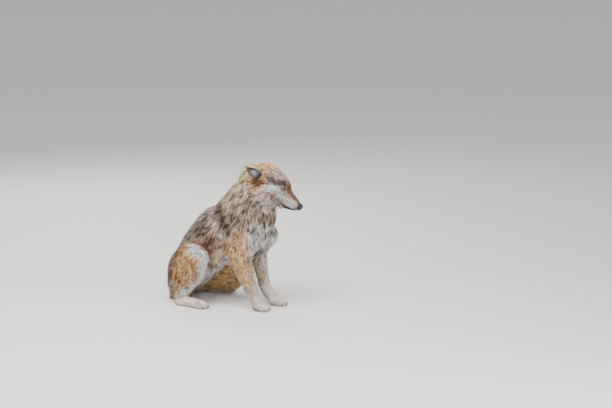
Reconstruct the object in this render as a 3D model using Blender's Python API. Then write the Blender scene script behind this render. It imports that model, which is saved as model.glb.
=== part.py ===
"""A timber wolf, life size, sitting with its ears laid back and its head turned and lowered.

The animal is modelled whole, out to the tips of its coat: lofted limbs and trunk are merged by a voxel
remesh, smoothed and thinned, set flat on the floor and then parted with thin cuts into its named parts.
Metres, +Z up, +X the way the chest faces, +Y the wolf's left. The origin is on the floor under the rump.
"""
import math

import bmesh
import bpy
import numpy as np
from mathutils import Matrix, Vector

# ---------------------------------------------------------------- driving dimensions
CUT_GAP = 0.0004          # thin cut between neighbouring parts
VOXEL = 0.004             # grain of the merged form
BLEND_ROUNDS = 7          # smoothing of the whole form
MUSCLE_ROUNDS = 34        # further smoothing where trunk, neck and thighs run into each other
FINE_FACES = 6400         # thinned form that the head and the feet are cut from
COARSE_FACES = 2600       # thinned form that the trunk and the legs are cut from
FLOOR_DEPTH = 0.3         # how far the floor block reaches down

HEAD_YAW = math.radians(28)       # the head turns to the wolf's left
HEAD_PITCH = math.radians(36)     # and the muzzle points down
HEAD_AT = Vector((0.471, 0.020, 0.690))

# Places on the head are along its axis, above it and beside it.
EYE_RADIUS = 0.0125
EYE_AT = (0.0940, 0.0785, 0.0365)
EYE_OPENING = (0.0185, 0.0300, 0.0120)     # half sizes of the egg that bares the eye: long, deep, tall
EYE_LID_DEPTH = 0.004     # how far in front of the eye's centre that egg begins
NOSE_AT = (0.2445, 0.0205)
NOSE_RADII = (0.0225, 0.0222, 0.0205)
EAR_BASE = (-0.0385, 0.036, 0.0785)
EAR_TIPS = {-1: (-0.130, 0.045, 0.118), 1: (-0.116, 0.014, 0.112)}     # the left ear lies flatter
EAR_HALF_WIDTH = 0.033
EAR_HOLLOW = 0.020        # depth of the ear's cup
EAR_THICKNESS = 0.009
EAR_ROOT = 0.013          # length of the ear that is sunk in the head

FORE_PAW_WIDTH = 0.086
HIND_PAW_WIDTH = 0.076

COATS = {
    "grizzled": (0.36, 0.29, 0.21),
    "saddle": (0.20, 0.17, 0.14),
    "tawny": (0.50, 0.35, 0.21),
    "cream": (0.66, 0.58, 0.47),
    "rust": (0.47, 0.27, 0.13),
    "nose": (0.03, 0.028, 0.03),
    "eye": (0.30, 0.16, 0.04),
}


# ---------------------------------------------------------------- tools
def clear_scene():
    for thing in list(bpy.data.objects):
        bpy.data.objects.remove(thing)


def coat_material(name):
    """One Principled finish for each coat colour, matt for hair and glossy for the nose and eyes."""
    material = bpy.data.materials.get(name)
    if material is None:
        material = bpy.data.materials.new(name)
        material.use_nodes = True
        shader = material.node_tree.nodes["Principled BSDF"]
        shader.inputs["Base Color"].default_value = (*COATS[name], 1)
        shader.inputs["Roughness"].default_value = 0.3 if name in ("nose", "eye") else 0.85
        shader.inputs["Metallic"].default_value = 0.0
    return material


def add_mesh(name, bm):
    """Turns a bmesh into an object whose faces point outwards."""
    bmesh.ops.recalc_face_normals(bm, faces=bm.faces[:])
    mesh = bpy.data.meshes.new(name)
    bm.to_mesh(mesh)
    bm.free()
    thing = bpy.data.objects.new(name, mesh)
    bpy.context.scene.collection.objects.link(thing)
    return thing


def ramp(value, low, high):
    """Goes smoothly from 0 at low to 1 at high."""
    share = np.clip((value - low) / (high - low), 0, 1)
    return share * share * (3 - 2 * share)


def smooth_stations(rows, count):
    """Reads `count` stations off a smooth curve through the given ones, spaced by the root of their gaps."""
    rows = np.array(rows, float)
    steps = np.linalg.norm(np.diff(rows[:, :3], axis=0), axis=1)
    knots = np.concatenate([[0.0], np.cumsum(np.sqrt(np.maximum(steps, 1e-6)))])
    slopes = np.gradient(rows, knots, axis=0)
    at = np.linspace(0.0, knots[-1], count)
    left = np.clip(np.searchsorted(knots, at, side="right") - 1, 0, len(rows) - 2)
    span = (knots[left + 1] - knots[left])[:, None]
    u = (at - knots[left])[:, None] / span
    return ((2 * u**3 - 3 * u**2 + 1) * rows[left] + (u**3 - 2 * u**2 + u) * span * slopes[left]
            + (3 * u**2 - 2 * u**3) * rows[left + 1] + (u**3 - u**2) * span * slopes[left + 1])


def loft(name, rows, side=(0, 1, 0), rings=18, around=24, end_rings=4):
    """A closed tube with round ends. A station is its centre, its radius above and below, and half its width.

    `side` is the way the width runs; above is square to it and to the path.
    """
    stations = smooth_stations(rows, rings)
    centres = stations[:, :3]
    along = np.gradient(centres, axis=0)
    along /= np.linalg.norm(along, axis=1)[:, None]
    across = np.tile(np.array(side, float), (rings, 1))
    across -= (across * along).sum(1)[:, None] * along
    across /= np.linalg.norm(across, axis=1)[:, None]
    above = np.cross(along, across)
    angles = np.linspace(0, 2 * math.pi, around, endpoint=False)
    rounding = np.linspace(0, math.pi / 2, end_rings + 1)[1:-1]
    bm = bmesh.new()

    def ring(i, shift, share):
        up, down, wide = stations[i, 3:6] * share
        centre = centres[i] + along[i] * shift
        return [bm.verts.new(centre + across[i] * wide * math.cos(a)
                             + above[i] * (up if math.sin(a) > 0 else down) * math.sin(a)) for a in angles]

    first, last = min(stations[0, 3:6]), min(stations[-1, 3:6])
    loops = [ring(0, -first * math.sin(f), math.cos(f)) for f in rounding[::-1]]
    loops += [ring(i, 0, 1) for i in range(rings)]
    loops += [ring(rings - 1, last * math.sin(f), math.cos(f)) for f in rounding]
    for a, b in zip(loops, loops[1:]):
        for k in range(around):
            bm.faces.new((a[k], a[(k + 1) % around], b[(k + 1) % around], b[k]))
    for loop, point in ((loops[0], centres[0] - along[0] * first), (loops[-1], centres[-1] + along[-1] * last)):
        tip = bm.verts.new(point)
        for k in range(around):
            bm.faces.new((loop[k], loop[(k + 1) % around], tip))
    return add_mesh(name, bm)


def ball(name, centre, radii, turn=Matrix.Identity(3), segments=20, rings=12):
    """An ellipsoid at `centre`, its radii along the columns of `turn`."""
    bm = bmesh.new()
    bmesh.ops.create_uvsphere(bm, u_segments=segments, v_segments=rings, radius=1)
    shape = Matrix.Translation(centre) @ turn.to_4x4() @ Matrix.Diagonal((*radii, 1))
    bmesh.ops.transform(bm, matrix=shape, verts=bm.verts)
    return add_mesh(name, bm)


def prism(name, outline, low, high, frame=Matrix.Identity(4)):
    """A cutting block: an outline in the frame's X-Z plane, carried along its Y from low to high."""
    bm = bmesh.new()
    rows = [[bm.verts.new(frame @ Vector((x, y, z))) for x, z in outline] for y in (low, high)]
    bm.faces.new(rows[0])
    bm.faces.new(rows[1])
    for k in range(len(outline)):
        n = (k + 1) % len(outline)
        bm.faces.new((rows[0][k], rows[0][n], rows[1][n], rows[1][k]))
    block = add_mesh(name, bm)
    block.hide_render = True
    block.display_type = "WIRE"
    return block


def evaluated(thing, name):
    """A new object that holds the thing's mesh with its modifiers applied."""
    view = thing.evaluated_get(bpy.context.evaluated_depsgraph_get())
    mesh = bpy.data.meshes.new_from_object(view)
    baked = bpy.data.objects.new(name, mesh)
    bpy.context.scene.collection.objects.link(baked)
    return baked


def boolean(thing, cutter, operation):
    """Cuts closed meshes by the MANIFOLD solver, because EXACT gives nothing back for some of these cuts."""
    step = thing.modifiers.new(operation.lower(), "BOOLEAN")
    step.operation = operation
    step.solver = "MANIFOLD"
    step.object = cutter


def bake(thing):
    """Applies the thing's modifiers to its own mesh."""
    view = thing.evaluated_get(bpy.context.evaluated_depsgraph_get())
    mesh = bpy.data.meshes.new_from_object(view)
    thing.modifiers.clear()
    thing.data = mesh
    return thing


def grown(block, distance):
    """A copy of a cutting block, every face of it moved outwards by `distance`."""
    bm = bmesh.new()
    bm.from_mesh(block.data)
    bm.normal_update()
    moves = {}
    for vert in bm.verts:
        normals = np.array([face.normal for face in vert.link_faces])
        moves[vert] = Vector(np.linalg.lstsq(normals, np.full(len(normals), distance), rcond=None)[0])
    for vert, move in moves.items():
        vert.co += move
    copy = add_mesh(block.name + "_grown", bm)
    copy.hide_render = True
    copy.display_type = "WIRE"
    return copy


# ---------------------------------------------------------------- the head's own frame
HEAD_FORWARD = Vector((math.cos(HEAD_PITCH) * math.cos(HEAD_YAW), math.cos(HEAD_PITCH) * math.sin(HEAD_YAW),
                       -math.sin(HEAD_PITCH)))
HEAD_LEFT = Vector((-math.sin(HEAD_YAW), math.cos(HEAD_YAW), 0))
HEAD_UP = HEAD_FORWARD.cross(HEAD_LEFT)
HEAD_TURN = Matrix((HEAD_FORWARD, HEAD_LEFT, HEAD_UP)).transposed()
HEAD_FRAME = Matrix.Translation(HEAD_AT) @ HEAD_TURN.to_4x4()


def on_head(along, above, beside=0.0):
    return HEAD_FRAME @ Vector((along, beside, above))


def head_station(along, top, bottom, half_width, beside=0.0):
    """A station of a loft along the head: the heights of its top and bottom lines and half its width."""
    half = (top - bottom) / 2
    return (*on_head(along, (top + bottom) / 2, beside), half, half, half_width)


# ---------------------------------------------------------------- the form
def trunk_forms():
    loft("trunk_form", [
        (-0.035, 0, 0.030, 0.050, 0.060, 0.085), (-0.012, 0, 0.090, 0.075, 0.085, 0.122),
        (0.028, 0, 0.160, 0.100, 0.115, 0.140), (0.072, 0, 0.235, 0.113, 0.140, 0.142),
        (0.120, 0, 0.305, 0.120, 0.158, 0.138), (0.182, 0, 0.370, 0.130, 0.182, 0.134),
        (0.255, 0, 0.420, 0.140, 0.194, 0.136), (0.335, 0, 0.440, 0.145, 0.178, 0.138),
        (0.405, 0, 0.435, 0.130, 0.158, 0.130), (0.462, 0, 0.425, 0.110, 0.130, 0.108),
        (0.490, 0, 0.415, 0.085, 0.095, 0.080)], rings=30, around=32)
    loft("neck_form", [
        (0.330, 0.000, 0.430, 0.155, 0.200, 0.138), (0.382, 0.002, 0.510, 0.156, 0.178, 0.138),
        (0.418, 0.006, 0.585, 0.138, 0.150, 0.132), (0.438, 0.012, 0.650, 0.115, 0.122, 0.122),
        (0.450, 0.018, 0.700, 0.092, 0.092, 0.104)], rings=16, around=32)
    loft("tail_form", [
        (-0.020, 0.005, 0.150, 0.045, 0.045, 0.045), (-0.068, 0.028, 0.092, 0.048, 0.050, 0.050),
        (-0.082, 0.100, 0.056, 0.052, 0.060, 0.054), (-0.066, 0.190, 0.050, 0.054, 0.062, 0.054),
        (-0.018, 0.268, 0.046, 0.050, 0.058, 0.050), (0.045, 0.318, 0.038, 0.038, 0.048, 0.038),
        (0.092, 0.338, 0.028, 0.016, 0.026, 0.016)], side=(0, 0, 1), rings=26)


def head_forms():
    loft("skull_form", [head_station(*row) for row in (
        (-0.070, 0.065, -0.030, 0.060), (-0.040, 0.105, -0.060, 0.084), (0.000, 0.122, -0.072, 0.090),
        (0.040, 0.123, -0.073, 0.087), (0.078, 0.116, -0.066, 0.073), (0.108, 0.101, -0.058, 0.056),
        (0.133, 0.083, -0.055, 0.042), (0.160, 0.067, -0.046, 0.036), (0.195, 0.056, -0.034, 0.032),
        (0.227, 0.046, -0.021, 0.028), (0.240, 0.041, -0.012, 0.022))], side=HEAD_LEFT, rings=30, around=28)
    for beside in (-1, 1):
        loft("cheek_form", [head_station(*row[:4], row[4] * beside) for row in (
            (0.108, 0.004, -0.042, 0.018, 0.026), (0.070, 0.030, -0.060, 0.034, 0.044),
            (0.025, 0.046, -0.074, 0.042, 0.058), (-0.020, 0.046, -0.078, 0.042, 0.062))],
            side=HEAD_LEFT, rings=14, around=20)
        loft("brow_form", [head_station(*row[:4], row[4] * beside) for row in (
            (0.045, 0.108, 0.070, 0.020, 0.040), (0.080, 0.103, 0.075, 0.015, 0.036),
            (0.108, 0.090, 0.070, 0.010, 0.030))], side=HEAD_LEFT, rings=8, around=16)
        ball("lip_form", on_head(0.200, 0.008, beside * 0.017), (0.038, 0.018, 0.024), HEAD_TURN)


def paw_forms(name, wrist, heading, width, length):
    """A paw: its back, its pads and four toes, fanned either side of the heading."""
    ahead = Vector((math.cos(heading), math.sin(heading), 0))
    left = Vector((-math.sin(heading), math.cos(heading), 0))
    flat = Vector((wrist[0], wrist[1], 0))
    turn = Matrix((ahead, left, Vector((0, 0, 1)))).transposed()
    ball(name + "_palm_form", flat + ahead * length * 0.25 + Vector((0, 0, 0.022)),
         (length * 0.42, width * 0.42, 0.026), turn)
    reaches = (0.86, 1.0, 1.0, 0.84)
    for k, reach in enumerate(reaches):
        out = (k - 1.5) / 1.5
        tip = flat + ahead * length * reach * 0.80 + left * out * width * 0.36
        knuckle = flat + ahead * length * 0.34 + left * out * width * 0.27
        loft(f"{name}_toe{k}_form", [
            (*(knuckle + Vector((0, 0, 0.026))), 0.014, 0.020, width * 0.125),
            (*(knuckle.lerp(tip, 0.55) + Vector((0, 0, 0.024))), 0.013, 0.022, width * 0.135),
            (*(tip + Vector((0, 0, 0.012))), 0.010, 0.013, width * 0.115)], side=left, rings=8, around=12)


FORE_RIGHT = [
    (0.300, -0.085, 0.520, 0.060, 0.060, 0.045), (0.385, -0.100, 0.430, 0.085, 0.085, 0.055),
    (0.400, -0.108, 0.350, 0.084, 0.078, 0.055), (0.405, -0.108, 0.285, 0.074, 0.065, 0.047),
    (0.428, -0.105, 0.220, 0.059, 0.053, 0.040), (0.457, -0.098, 0.150, 0.044, 0.043, 0.034),
    (0.483, -0.092, 0.090, 0.034, 0.036, 0.031), (0.500, -0.089, 0.050, 0.030, 0.032, 0.033)]
FORE_LEFT = [
    (0.300, 0.085, 0.520, 0.060, 0.060, 0.045), (0.385, 0.098, 0.430, 0.085, 0.085, 0.055),
    (0.400, 0.100, 0.350, 0.080, 0.075, 0.055), (0.408, 0.096, 0.285, 0.058, 0.055, 0.045),
    (0.425, 0.090, 0.220, 0.042, 0.046, 0.037), (0.445, 0.084, 0.150, 0.034, 0.038, 0.031),
    (0.468, 0.080, 0.090, 0.031, 0.034, 0.030), (0.500, 0.078, 0.052, 0.030, 0.032, 0.033)]


def leg_forms():
    loft("foreleg_right_form", FORE_RIGHT, rings=26)
    loft("foreleg_left_form", FORE_LEFT, rings=26)
    paw_forms("forepaw_right", (0.492, -0.089), math.radians(-4), FORE_PAW_WIDTH, 0.098)
    paw_forms("forepaw_left", (0.502, 0.077), math.radians(2), FORE_PAW_WIDTH, 0.105)

    loft("thigh_right_form", [
        (0.035, -0.105, 0.110, 0.090, 0.075, 0.052), (0.068, -0.130, 0.175, 0.108, 0.105, 0.062),
        (0.112, -0.150, 0.232, 0.106, 0.115, 0.064), (0.160, -0.165, 0.275, 0.084, 0.100, 0.057),
        (0.192, -0.173, 0.290, 0.056, 0.070, 0.045)])
    loft("shank_right_form", [
        (0.200, -0.176, 0.275, 0.045, 0.055, 0.045), (0.172, -0.178, 0.200, 0.052, 0.052, 0.044),
        (0.120, -0.178, 0.125, 0.040, 0.045, 0.037), (0.070, -0.176, 0.062, 0.028, 0.034, 0.029)])
    loft("hindfoot_right_form", [
        (0.058, -0.176, 0.034, 0.028, 0.040, 0.026), (0.115, -0.180, 0.032, 0.024, 0.036, 0.028),
        (0.170, -0.186, 0.028, 0.022, 0.034, 0.032)])
    paw_forms("hindpaw_right", (0.165, -0.186), math.radians(-6), HIND_PAW_WIDTH, 0.092)

    loft("thigh_left_form", [
        (0.010, 0.105, 0.100, 0.080, 0.080, 0.060), (0.048, 0.138, 0.122, 0.088, 0.090, 0.066),
        (0.108, 0.170, 0.124, 0.078, 0.085, 0.070), (0.162, 0.195, 0.113, 0.066, 0.075, 0.062),
        (0.190, 0.206, 0.105, 0.050, 0.055, 0.050)])
    loft("shank_left_form", [
        (0.190, 0.208, 0.080, 0.048, 0.055, 0.048), (0.140, 0.214, 0.055, 0.044, 0.060, 0.043),
        (0.085, 0.216, 0.042, 0.036, 0.050, 0.034), (0.042, 0.216, 0.034, 0.028, 0.040, 0.028)])
    loft("hindfoot_left_form", [
        (0.036, 0.216, 0.032, 0.028, 0.038, 0.026), (0.070, 0.224, 0.030, 0.024, 0.036, 0.028),
        (0.105, 0.232, 0.027, 0.022, 0.034, 0.032)])
    paw_forms("hindpaw_left", (0.094, 0.231), math.radians(10), HIND_PAW_WIDTH, 0.092)


def cup(name, side):
    """An ear: sections from a thick sunk root to a rounded tip, which open into a crescent, hollow outwards.

    A section's points go round by an angle: across by its cosine, thick by its sine and bent back by the
    sine's square.
    """
    base, tip = (on_head(along, above, side * beside) for along, above, beside in (EAR_BASE, EAR_TIPS[side]))
    along = (tip - base).normalized()
    outward = HEAD_TURN @ Vector((-0.10, side * 1.0, -0.10))
    outward = (outward - along * outward.dot(along)).normalized()
    across = along.cross(outward)
    length = (tip - base).length
    angles = np.linspace(0, 2 * math.pi, 12, endpoint=False)
    bm = bmesh.new()
    loops = []
    for share in (-EAR_ROOT / length, *np.linspace(0, 0.97, 8)):
        narrow = (1 - (max(share - 0.15, 0) / 0.85) ** 1.7) ** 0.75
        opening = ramp(share, 0.02, 0.35)
        half_width = EAR_HALF_WIDTH * narrow * (0.82 + 0.18 * ramp(share, 0, 0.15))
        bend = EAR_HOLLOW * narrow * opening
        half_thickness = EAR_THICKNESS / 2 * (0.4 + 0.6 * narrow) * (2.2 - 1.2 * opening)
        centre = base + along * length * share
        loops.append([bm.verts.new(centre + across * half_width * math.cos(a) + outward
                                   * (half_thickness * math.sin(a) - bend * math.sin(a) ** 2)) for a in angles])
    for a, b in zip(loops, loops[1:]):
        for k in range(len(angles)):
            n = (k + 1) % len(angles)
            bm.faces.new((a[k], a[n], b[n], b[k]))
    for loop in (loops[0], loops[-1]):
        bm.faces.new(loop)
    bmesh.ops.triangulate(bm, faces=bm.faces[:])
    return add_mesh(name, bm)


def features():
    """The parts that aren't cut from the form: ears, nose and eyes, and the cutters that bare the eyes."""
    parts, openings = {}, []
    for side, word in ((-1, "right"), (1, "left")):
        parts["ear_" + word] = (cup("ear_" + word, side), "grizzled")
        at = on_head(EYE_AT[0], EYE_AT[1], side * EYE_AT[2])
        parts["eye_" + word] = (ball("eye_" + word, at, (EYE_RADIUS,) * 3, segments=12, rings=8), "eye")
        gaze = (HEAD_TURN @ Vector((0.52, side * 0.84, 0.12))).normalized()
        slit = (HEAD_TURN @ Vector((0.80, -side * 0.55, -0.22))).normalized()
        slit = (slit - gaze * slit.dot(gaze)).normalized()
        turn = Matrix((slit, gaze, slit.cross(gaze))).transposed()
        openings.append(ball("eye_opening_" + word, at + gaze * (EYE_OPENING[1] + EYE_LID_DEPTH), EYE_OPENING,
                             turn, 12, 8))
    parts["nose"] = (ball("nose", on_head(*NOSE_AT), NOSE_RADII, HEAD_TURN, 14, 8), "nose")
    return parts, openings


def soften(whole):
    """Smooths the trunk, neck and upper legs further, and leaves the face and the feet as they are."""
    points = np.array([vert.co for vert in whole.data.vertices])
    on_axis = (points - np.array(HEAD_AT)) @ np.array(HEAD_TURN)
    near_head = 1 - ramp(np.linalg.norm(points - np.array(HEAD_AT), axis=1), 0.20, 0.32)
    weights = ramp(points[:, 2], 0.07, 0.16) * (1 - near_head * ramp(on_axis[:, 0], -0.06, 0.03))
    group = whole.vertex_groups.new(name="muscle")
    for step in range(1, 11):
        chosen = np.flatnonzero(np.round(weights * 10) == step)
        group.add(chosen.tolist(), step / 10, "REPLACE")
    blend = whole.modifiers.new("muscle", "SMOOTH")
    blend.factor = 0.5
    blend.iterations = MUSCLE_ROUNDS
    blend.vertex_group = "muscle"
    bake(whole)


def merged_form():
    """Merges every form into one smooth closed body, and gives it back at a fine and at a coarse grain."""
    trunk_forms()
    head_forms()
    leg_forms()
    forms = [thing for thing in bpy.data.objects if thing.name.split(".")[0].endswith("_form")]
    bm = bmesh.new()
    for thing in forms:
        bm.from_mesh(thing.data)
    whole = add_mesh("whole", bm)
    for thing in forms:
        bpy.data.objects.remove(thing)
    remesh = whole.modifiers.new("merge", "REMESH")
    remesh.mode = "VOXEL"
    remesh.voxel_size = VOXEL
    blend = whole.modifiers.new("blend", "SMOOTH")
    blend.factor = 0.5
    blend.iterations = BLEND_ROUNDS
    bake(whole)
    soften(whole)
    faces = 2 * len(whole.data.polygons)
    floor = prism("floor_block", [(-1, -FLOOR_DEPTH), (2, -FLOOR_DEPTH), (2, 0), (-1, 0)], -1, 1)
    grains = []
    for name, target in (("fine_form", FINE_FACES), ("coarse_form", COARSE_FACES)):
        form = evaluated(whole, name)
        thin = form.modifiers.new("thin", "DECIMATE")
        thin.ratio = target / faces
        thin.use_collapse_triangulate = True
        boolean(form, floor, "DIFFERENCE")
        grains.append(bake(form))
    bpy.data.objects.remove(whole)
    bpy.data.objects.remove(floor)
    return grains


# ---------------------------------------------------------------- parting
def blocks():
    """The cuts. A part gives way to the blocks listed before it.

    Each has its node, the form it is cut from, its coat, and its block: the outline along X or the head's
    axis and up, its low and high side, and its frame.
    """
    body = Matrix.Identity(4)
    beside_tail = Matrix.Rotation(math.radians(-18.4), 4, "Z")
    forepaw = [(0.40, -0.05), (0.75, -0.05), (0.75, 0.10), (0.52, 0.095), (0.40, 0.055)]
    forearm = [(0.30, -0.05), (0.80, -0.05), (0.80, 0.275), (0.46, 0.275), (0.335, 0.235)]
    shoulder = [(0.345, 0.20), (0.58, 0.20), (0.58, 0.395), (0.470, 0.470), (0.400, 0.520), (0.270, 0.560),
                (0.285, 0.380)]
    return [
        ("lower_jaw", "fine", "cream", [(0.160, -0.058), (0.32, -0.058), (0.32, -0.010), (0.235, -0.012),
                                        (0.152, -0.018), (0.136, -0.028)], -0.1, 0.1, HEAD_FRAME),
        ("head", "fine", "tawny", [(-0.30, 0.150), (-0.095, 0.045), (0.105, -0.078), (0.175, -0.078),
                                   (0.40, -0.200), (0.40, 0.30), (-0.30, 0.30)], -0.25, 0.25, HEAD_FRAME),
        ("neck", "coarse", "grizzled", [(0.10, 0.63), (0.205, 0.575), (0.600, 0.425), (0.75, 0.425),
                                        (0.75, 0.95), (0.10, 0.95)], -0.3, 0.3, body),
        ("forepaw_right", "fine", "cream", forepaw, -0.20, 0.0, body),
        ("forepaw_left", "fine", "cream", forepaw, 0.0, 0.20, body),
        ("forearm_right", "coarse", "tawny", forearm, -0.20, 0.0, body),
        ("forearm_left", "coarse", "tawny", forearm, 0.0, 0.20, body),
        ("upper_foreleg_right", "coarse", "tawny", shoulder, -0.30, -0.072, body),
        ("upper_foreleg_left", "coarse", "tawny", shoulder, 0.072, 0.30, body),
        ("hindpaw_right", "fine", "cream", [(0.150, -0.05), (0.35, -0.05), (0.35, 0.080), (0.165, 0.080)],
         -0.30, -0.120, body),
        ("hind_foot_right", "fine", "cream", [(-0.02, -0.05), (0.35, -0.05), (0.35, 0.080), (0.125, 0.072),
                                              (0.030, 0.058), (-0.02, 0.02)], -0.30, -0.146, body),
        ("shank_right", "coarse", "cream", [(0.020, 0.03), (0.35, 0.03), (0.35, 0.220), (0.225, 0.217),
                                            (0.030, 0.075)], -0.30, -0.138, body),
        ("thigh_right", "coarse", "tawny", [(-0.08, 0.045), (0.04, 0.03), (0.35, 0.18), (0.35, 0.33),
                                            (0.225, 0.385), (0.120, 0.390), (0.010, 0.310), (-0.08, 0.14)],
         -0.30, -0.140, body),
        ("hindpaw_left", "fine", "cream", [(0.092, -0.05), (0.35, -0.05), (0.35, 0.062), (0.098, 0.062)],
         0.190, 0.295, body),
        ("hind_foot_left", "fine", "cream", [(0.015, -0.05), (0.35, -0.05), (0.35, 0.052), (0.015, 0.052)],
         0.200, 0.246, body),
        ("tail_tip", "coarse", "grizzled", [(-0.25, -0.05), (-0.002, -0.05), (-0.002, 0.105), (-0.25, 0.13)],
         0.262, 0.45, beside_tail),
        ("tail_root", "coarse", "grizzled", [(-0.25, -0.05), (-0.049, -0.05), (-0.040, 0.13), (-0.25, 0.18)],
         0.012, 0.30, beside_tail),
        ("shank_left", "coarse", "rust", [(0.010, -0.05), (0.35, -0.05), (0.35, 0.085), (0.205, 0.085),
                                          (0.010, 0.070)], 0.120, 0.30, body),
        ("thigh_left", "coarse", "rust", [(-0.04, 0.00), (0.35, 0.00), (0.35, 0.245), (0.100, 0.245),
                                          (-0.04, 0.185)], 0.140, 0.30, body),
        ("rump", "coarse", "saddle", [(-0.30, -0.05), (0.40, -0.05), (0.40, 0.05), (0.060, 0.430),
                                      (-0.10, 0.55), (-0.30, 0.55)], -0.30, 0.40, body),
        ("chest", "coarse", "grizzled", [(-0.30, -0.05), (0.90, -0.05), (0.90, 0.95), (-0.30, 0.95)],
         -0.40, 0.45, body),
    ]


def part_the_form(fine, coarse):
    """Cuts each named part out of the form inside its own block and outside whatever came before it."""
    parts, openings = features()
    taken = [grown(thing, CUT_GAP) for thing, _ in parts.values()] + openings
    for name, grain, coat, outline, low, high, frame in blocks():
        piece = evaluated(fine if grain == "fine" else coarse, name)
        block = prism(name + "_block", outline, low, high, frame)
        boolean(piece, block, "INTERSECT")
        bake(piece)
        reach = box_of(piece)
        for other in taken:
            if overlaps(reach, box_of(other)):
                boolean(piece, other, "DIFFERENCE")
                bake(piece)
        keep_largest_shell(piece)
        parts[name] = (piece, coat)
        taken.append(grown(block, CUT_GAP))
        bpy.data.objects.remove(block)
    for thing in taken + [fine, coarse]:
        bpy.data.objects.remove(thing)
    for piece, coat in parts.values():
        piece.data.materials.clear()
        piece.data.materials.append(coat_material(coat))


def box_of(thing):
    points = np.array([vert.co for vert in thing.data.vertices])
    return points.min(0), points.max(0)


def overlaps(a, b):
    return bool(np.all(a[0] < b[1]) and np.all(b[0] < a[1]))


def keep_largest_shell(piece):
    """Deletes the crumbs that a cut leaves where it grazes a neighbour."""
    bm = bmesh.new()
    bm.from_mesh(piece.data)
    unseen, shells = set(bm.verts), []
    while unseen:
        front = [unseen.pop()]
        shell = list(front)
        while front:
            near = {edge.other_vert(front[-1]) for edge in front[-1].link_edges} & unseen
            front.pop()
            unseen -= near
            front.extend(near)
            shell.extend(near)
        shells.append(shell)
    shells.sort(key=len)
    for shell in shells[:-1]:
        bmesh.ops.delete(bm, geom=shell, context="VERTS")
    bmesh.ops.triangulate(bm, faces=bm.faces[:])
    bm.to_mesh(piece.data)
    bm.free()


def finish():
    clear_scene()
    fine, coarse = merged_form()
    part_the_form(fine, coarse)


finish()
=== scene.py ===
import contextlib
import math

import bmesh
import bpy
import numpy as np
from mathutils import Matrix


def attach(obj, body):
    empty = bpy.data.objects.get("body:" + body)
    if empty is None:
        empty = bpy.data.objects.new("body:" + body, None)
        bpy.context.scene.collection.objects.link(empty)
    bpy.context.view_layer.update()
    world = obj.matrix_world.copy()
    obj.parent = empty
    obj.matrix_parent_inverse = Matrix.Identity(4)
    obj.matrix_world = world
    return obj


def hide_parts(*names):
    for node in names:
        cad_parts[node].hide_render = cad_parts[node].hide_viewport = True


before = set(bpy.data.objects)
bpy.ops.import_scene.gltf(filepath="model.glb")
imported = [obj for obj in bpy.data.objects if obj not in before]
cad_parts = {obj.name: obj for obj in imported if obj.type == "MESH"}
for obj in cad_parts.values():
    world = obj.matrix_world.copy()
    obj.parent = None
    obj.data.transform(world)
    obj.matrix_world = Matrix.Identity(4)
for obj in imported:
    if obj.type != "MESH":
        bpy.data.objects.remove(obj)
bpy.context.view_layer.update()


# ================================================================ the head's own frame
# The head is turned 28 degrees to the wolf's left and its muzzle points 36 degrees down. Places on it are
# along its axis from the back of the jaw, above that axis, and beside it to the wolf's left.
HEAD_AT = np.array([0.471, 0.020, 0.690])
HEAD_YAW, HEAD_PITCH = math.radians(28), math.radians(36)
HEAD_FORWARD = np.array([math.cos(HEAD_PITCH) * math.cos(HEAD_YAW), math.cos(HEAD_PITCH) * math.sin(HEAD_YAW),
                         -math.sin(HEAD_PITCH)])
HEAD_LEFT = np.array([-math.sin(HEAD_YAW), math.cos(HEAD_YAW), 0.0])
HEAD_UP = np.cross(HEAD_FORWARD, HEAD_LEFT)
HEAD_AXES = np.array([HEAD_FORWARD, HEAD_UP, HEAD_LEFT])


def on_head(places):
    """World places of rows (along, above, beside)."""
    return HEAD_AT + np.asarray(places, float) @ HEAD_AXES


def head_places(points):
    """Rows (along, above, beside) of world points."""
    return (points - HEAD_AT) @ HEAD_AXES.T


def ramp(value, low, high):
    """Goes smoothly from 0 at low to 1 at high."""
    share = np.clip((value - low) / (high - low), 0, 1)
    return share * share * (3 - 2 * share)


UPRIGHT = np.array([0, 0, 1.0])


def unit(vectors):
    """Vectors brought to a length of 1."""
    return vectors / np.maximum(np.linalg.norm(vectors, axis=-1, keepdims=True), 1e-9)


def folded(places, axis):
    """Both sides laid over each other: one coordinate loses its sign."""
    return np.where(np.arange(3) == axis, np.abs(places), places)


# ================================================================ the lie of the coat
# A wolf's coat runs from the nose back over the head, down the neck and along the back to the tail, and down
# each leg to the toes. Each run below is a path of places on the body, along which the hair points, and its
# spread, the hair's length, its lift off the skin in degrees, and a lock's width in thousandths of a
# millimetre. The rest is in millimetres.
HEAD_RUNS = [
    ([(245, 34, 0), (200, 55, 0), (160, 66, 0), (125, 88, 0)], 16, 6, 12, 700),
    ([(240, 12, 22), (200, 20, 31), (160, 24, 36), (125, 30, 45)], 16, 6, 14, 700),
    ([(235, -12, 12), (200, -28, 15), (165, -46, 16)], 14, 7, 14, 800),
    ([(115, 98, 10), (80, 117, 18), (40, 123, 22)], 22, 12, 14, 900),
    ([(40, 122, 20), (0, 120, 25), (-40, 105, 25)], 25, 22, 18, 1500),
    ([(115, 75, 40), (90, 66, 55), (60, 75, 68), (20, 70, 80)], 18, 9, 12, 800),
    ([(125, 30, 48), (90, 25, 65), (50, 20, 85)], 20, 13, 16, 1000),
    ([(50, 30, 90), (20, 0, 98), (-20, -40, 100)], 26, 36, 24, 1800),
    ([(130, -30, 30), (90, -50, 50), (50, -66, 66)], 22, 14, 12, 1300),
    ([(30, -70, 75), (0, -85, 80)], 22, 30, 22, 2000),
    ([(20, 60, 92), (-20, 40, 98), (-60, 0, 100)], 26, 30, 22, 1700),
]
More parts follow.
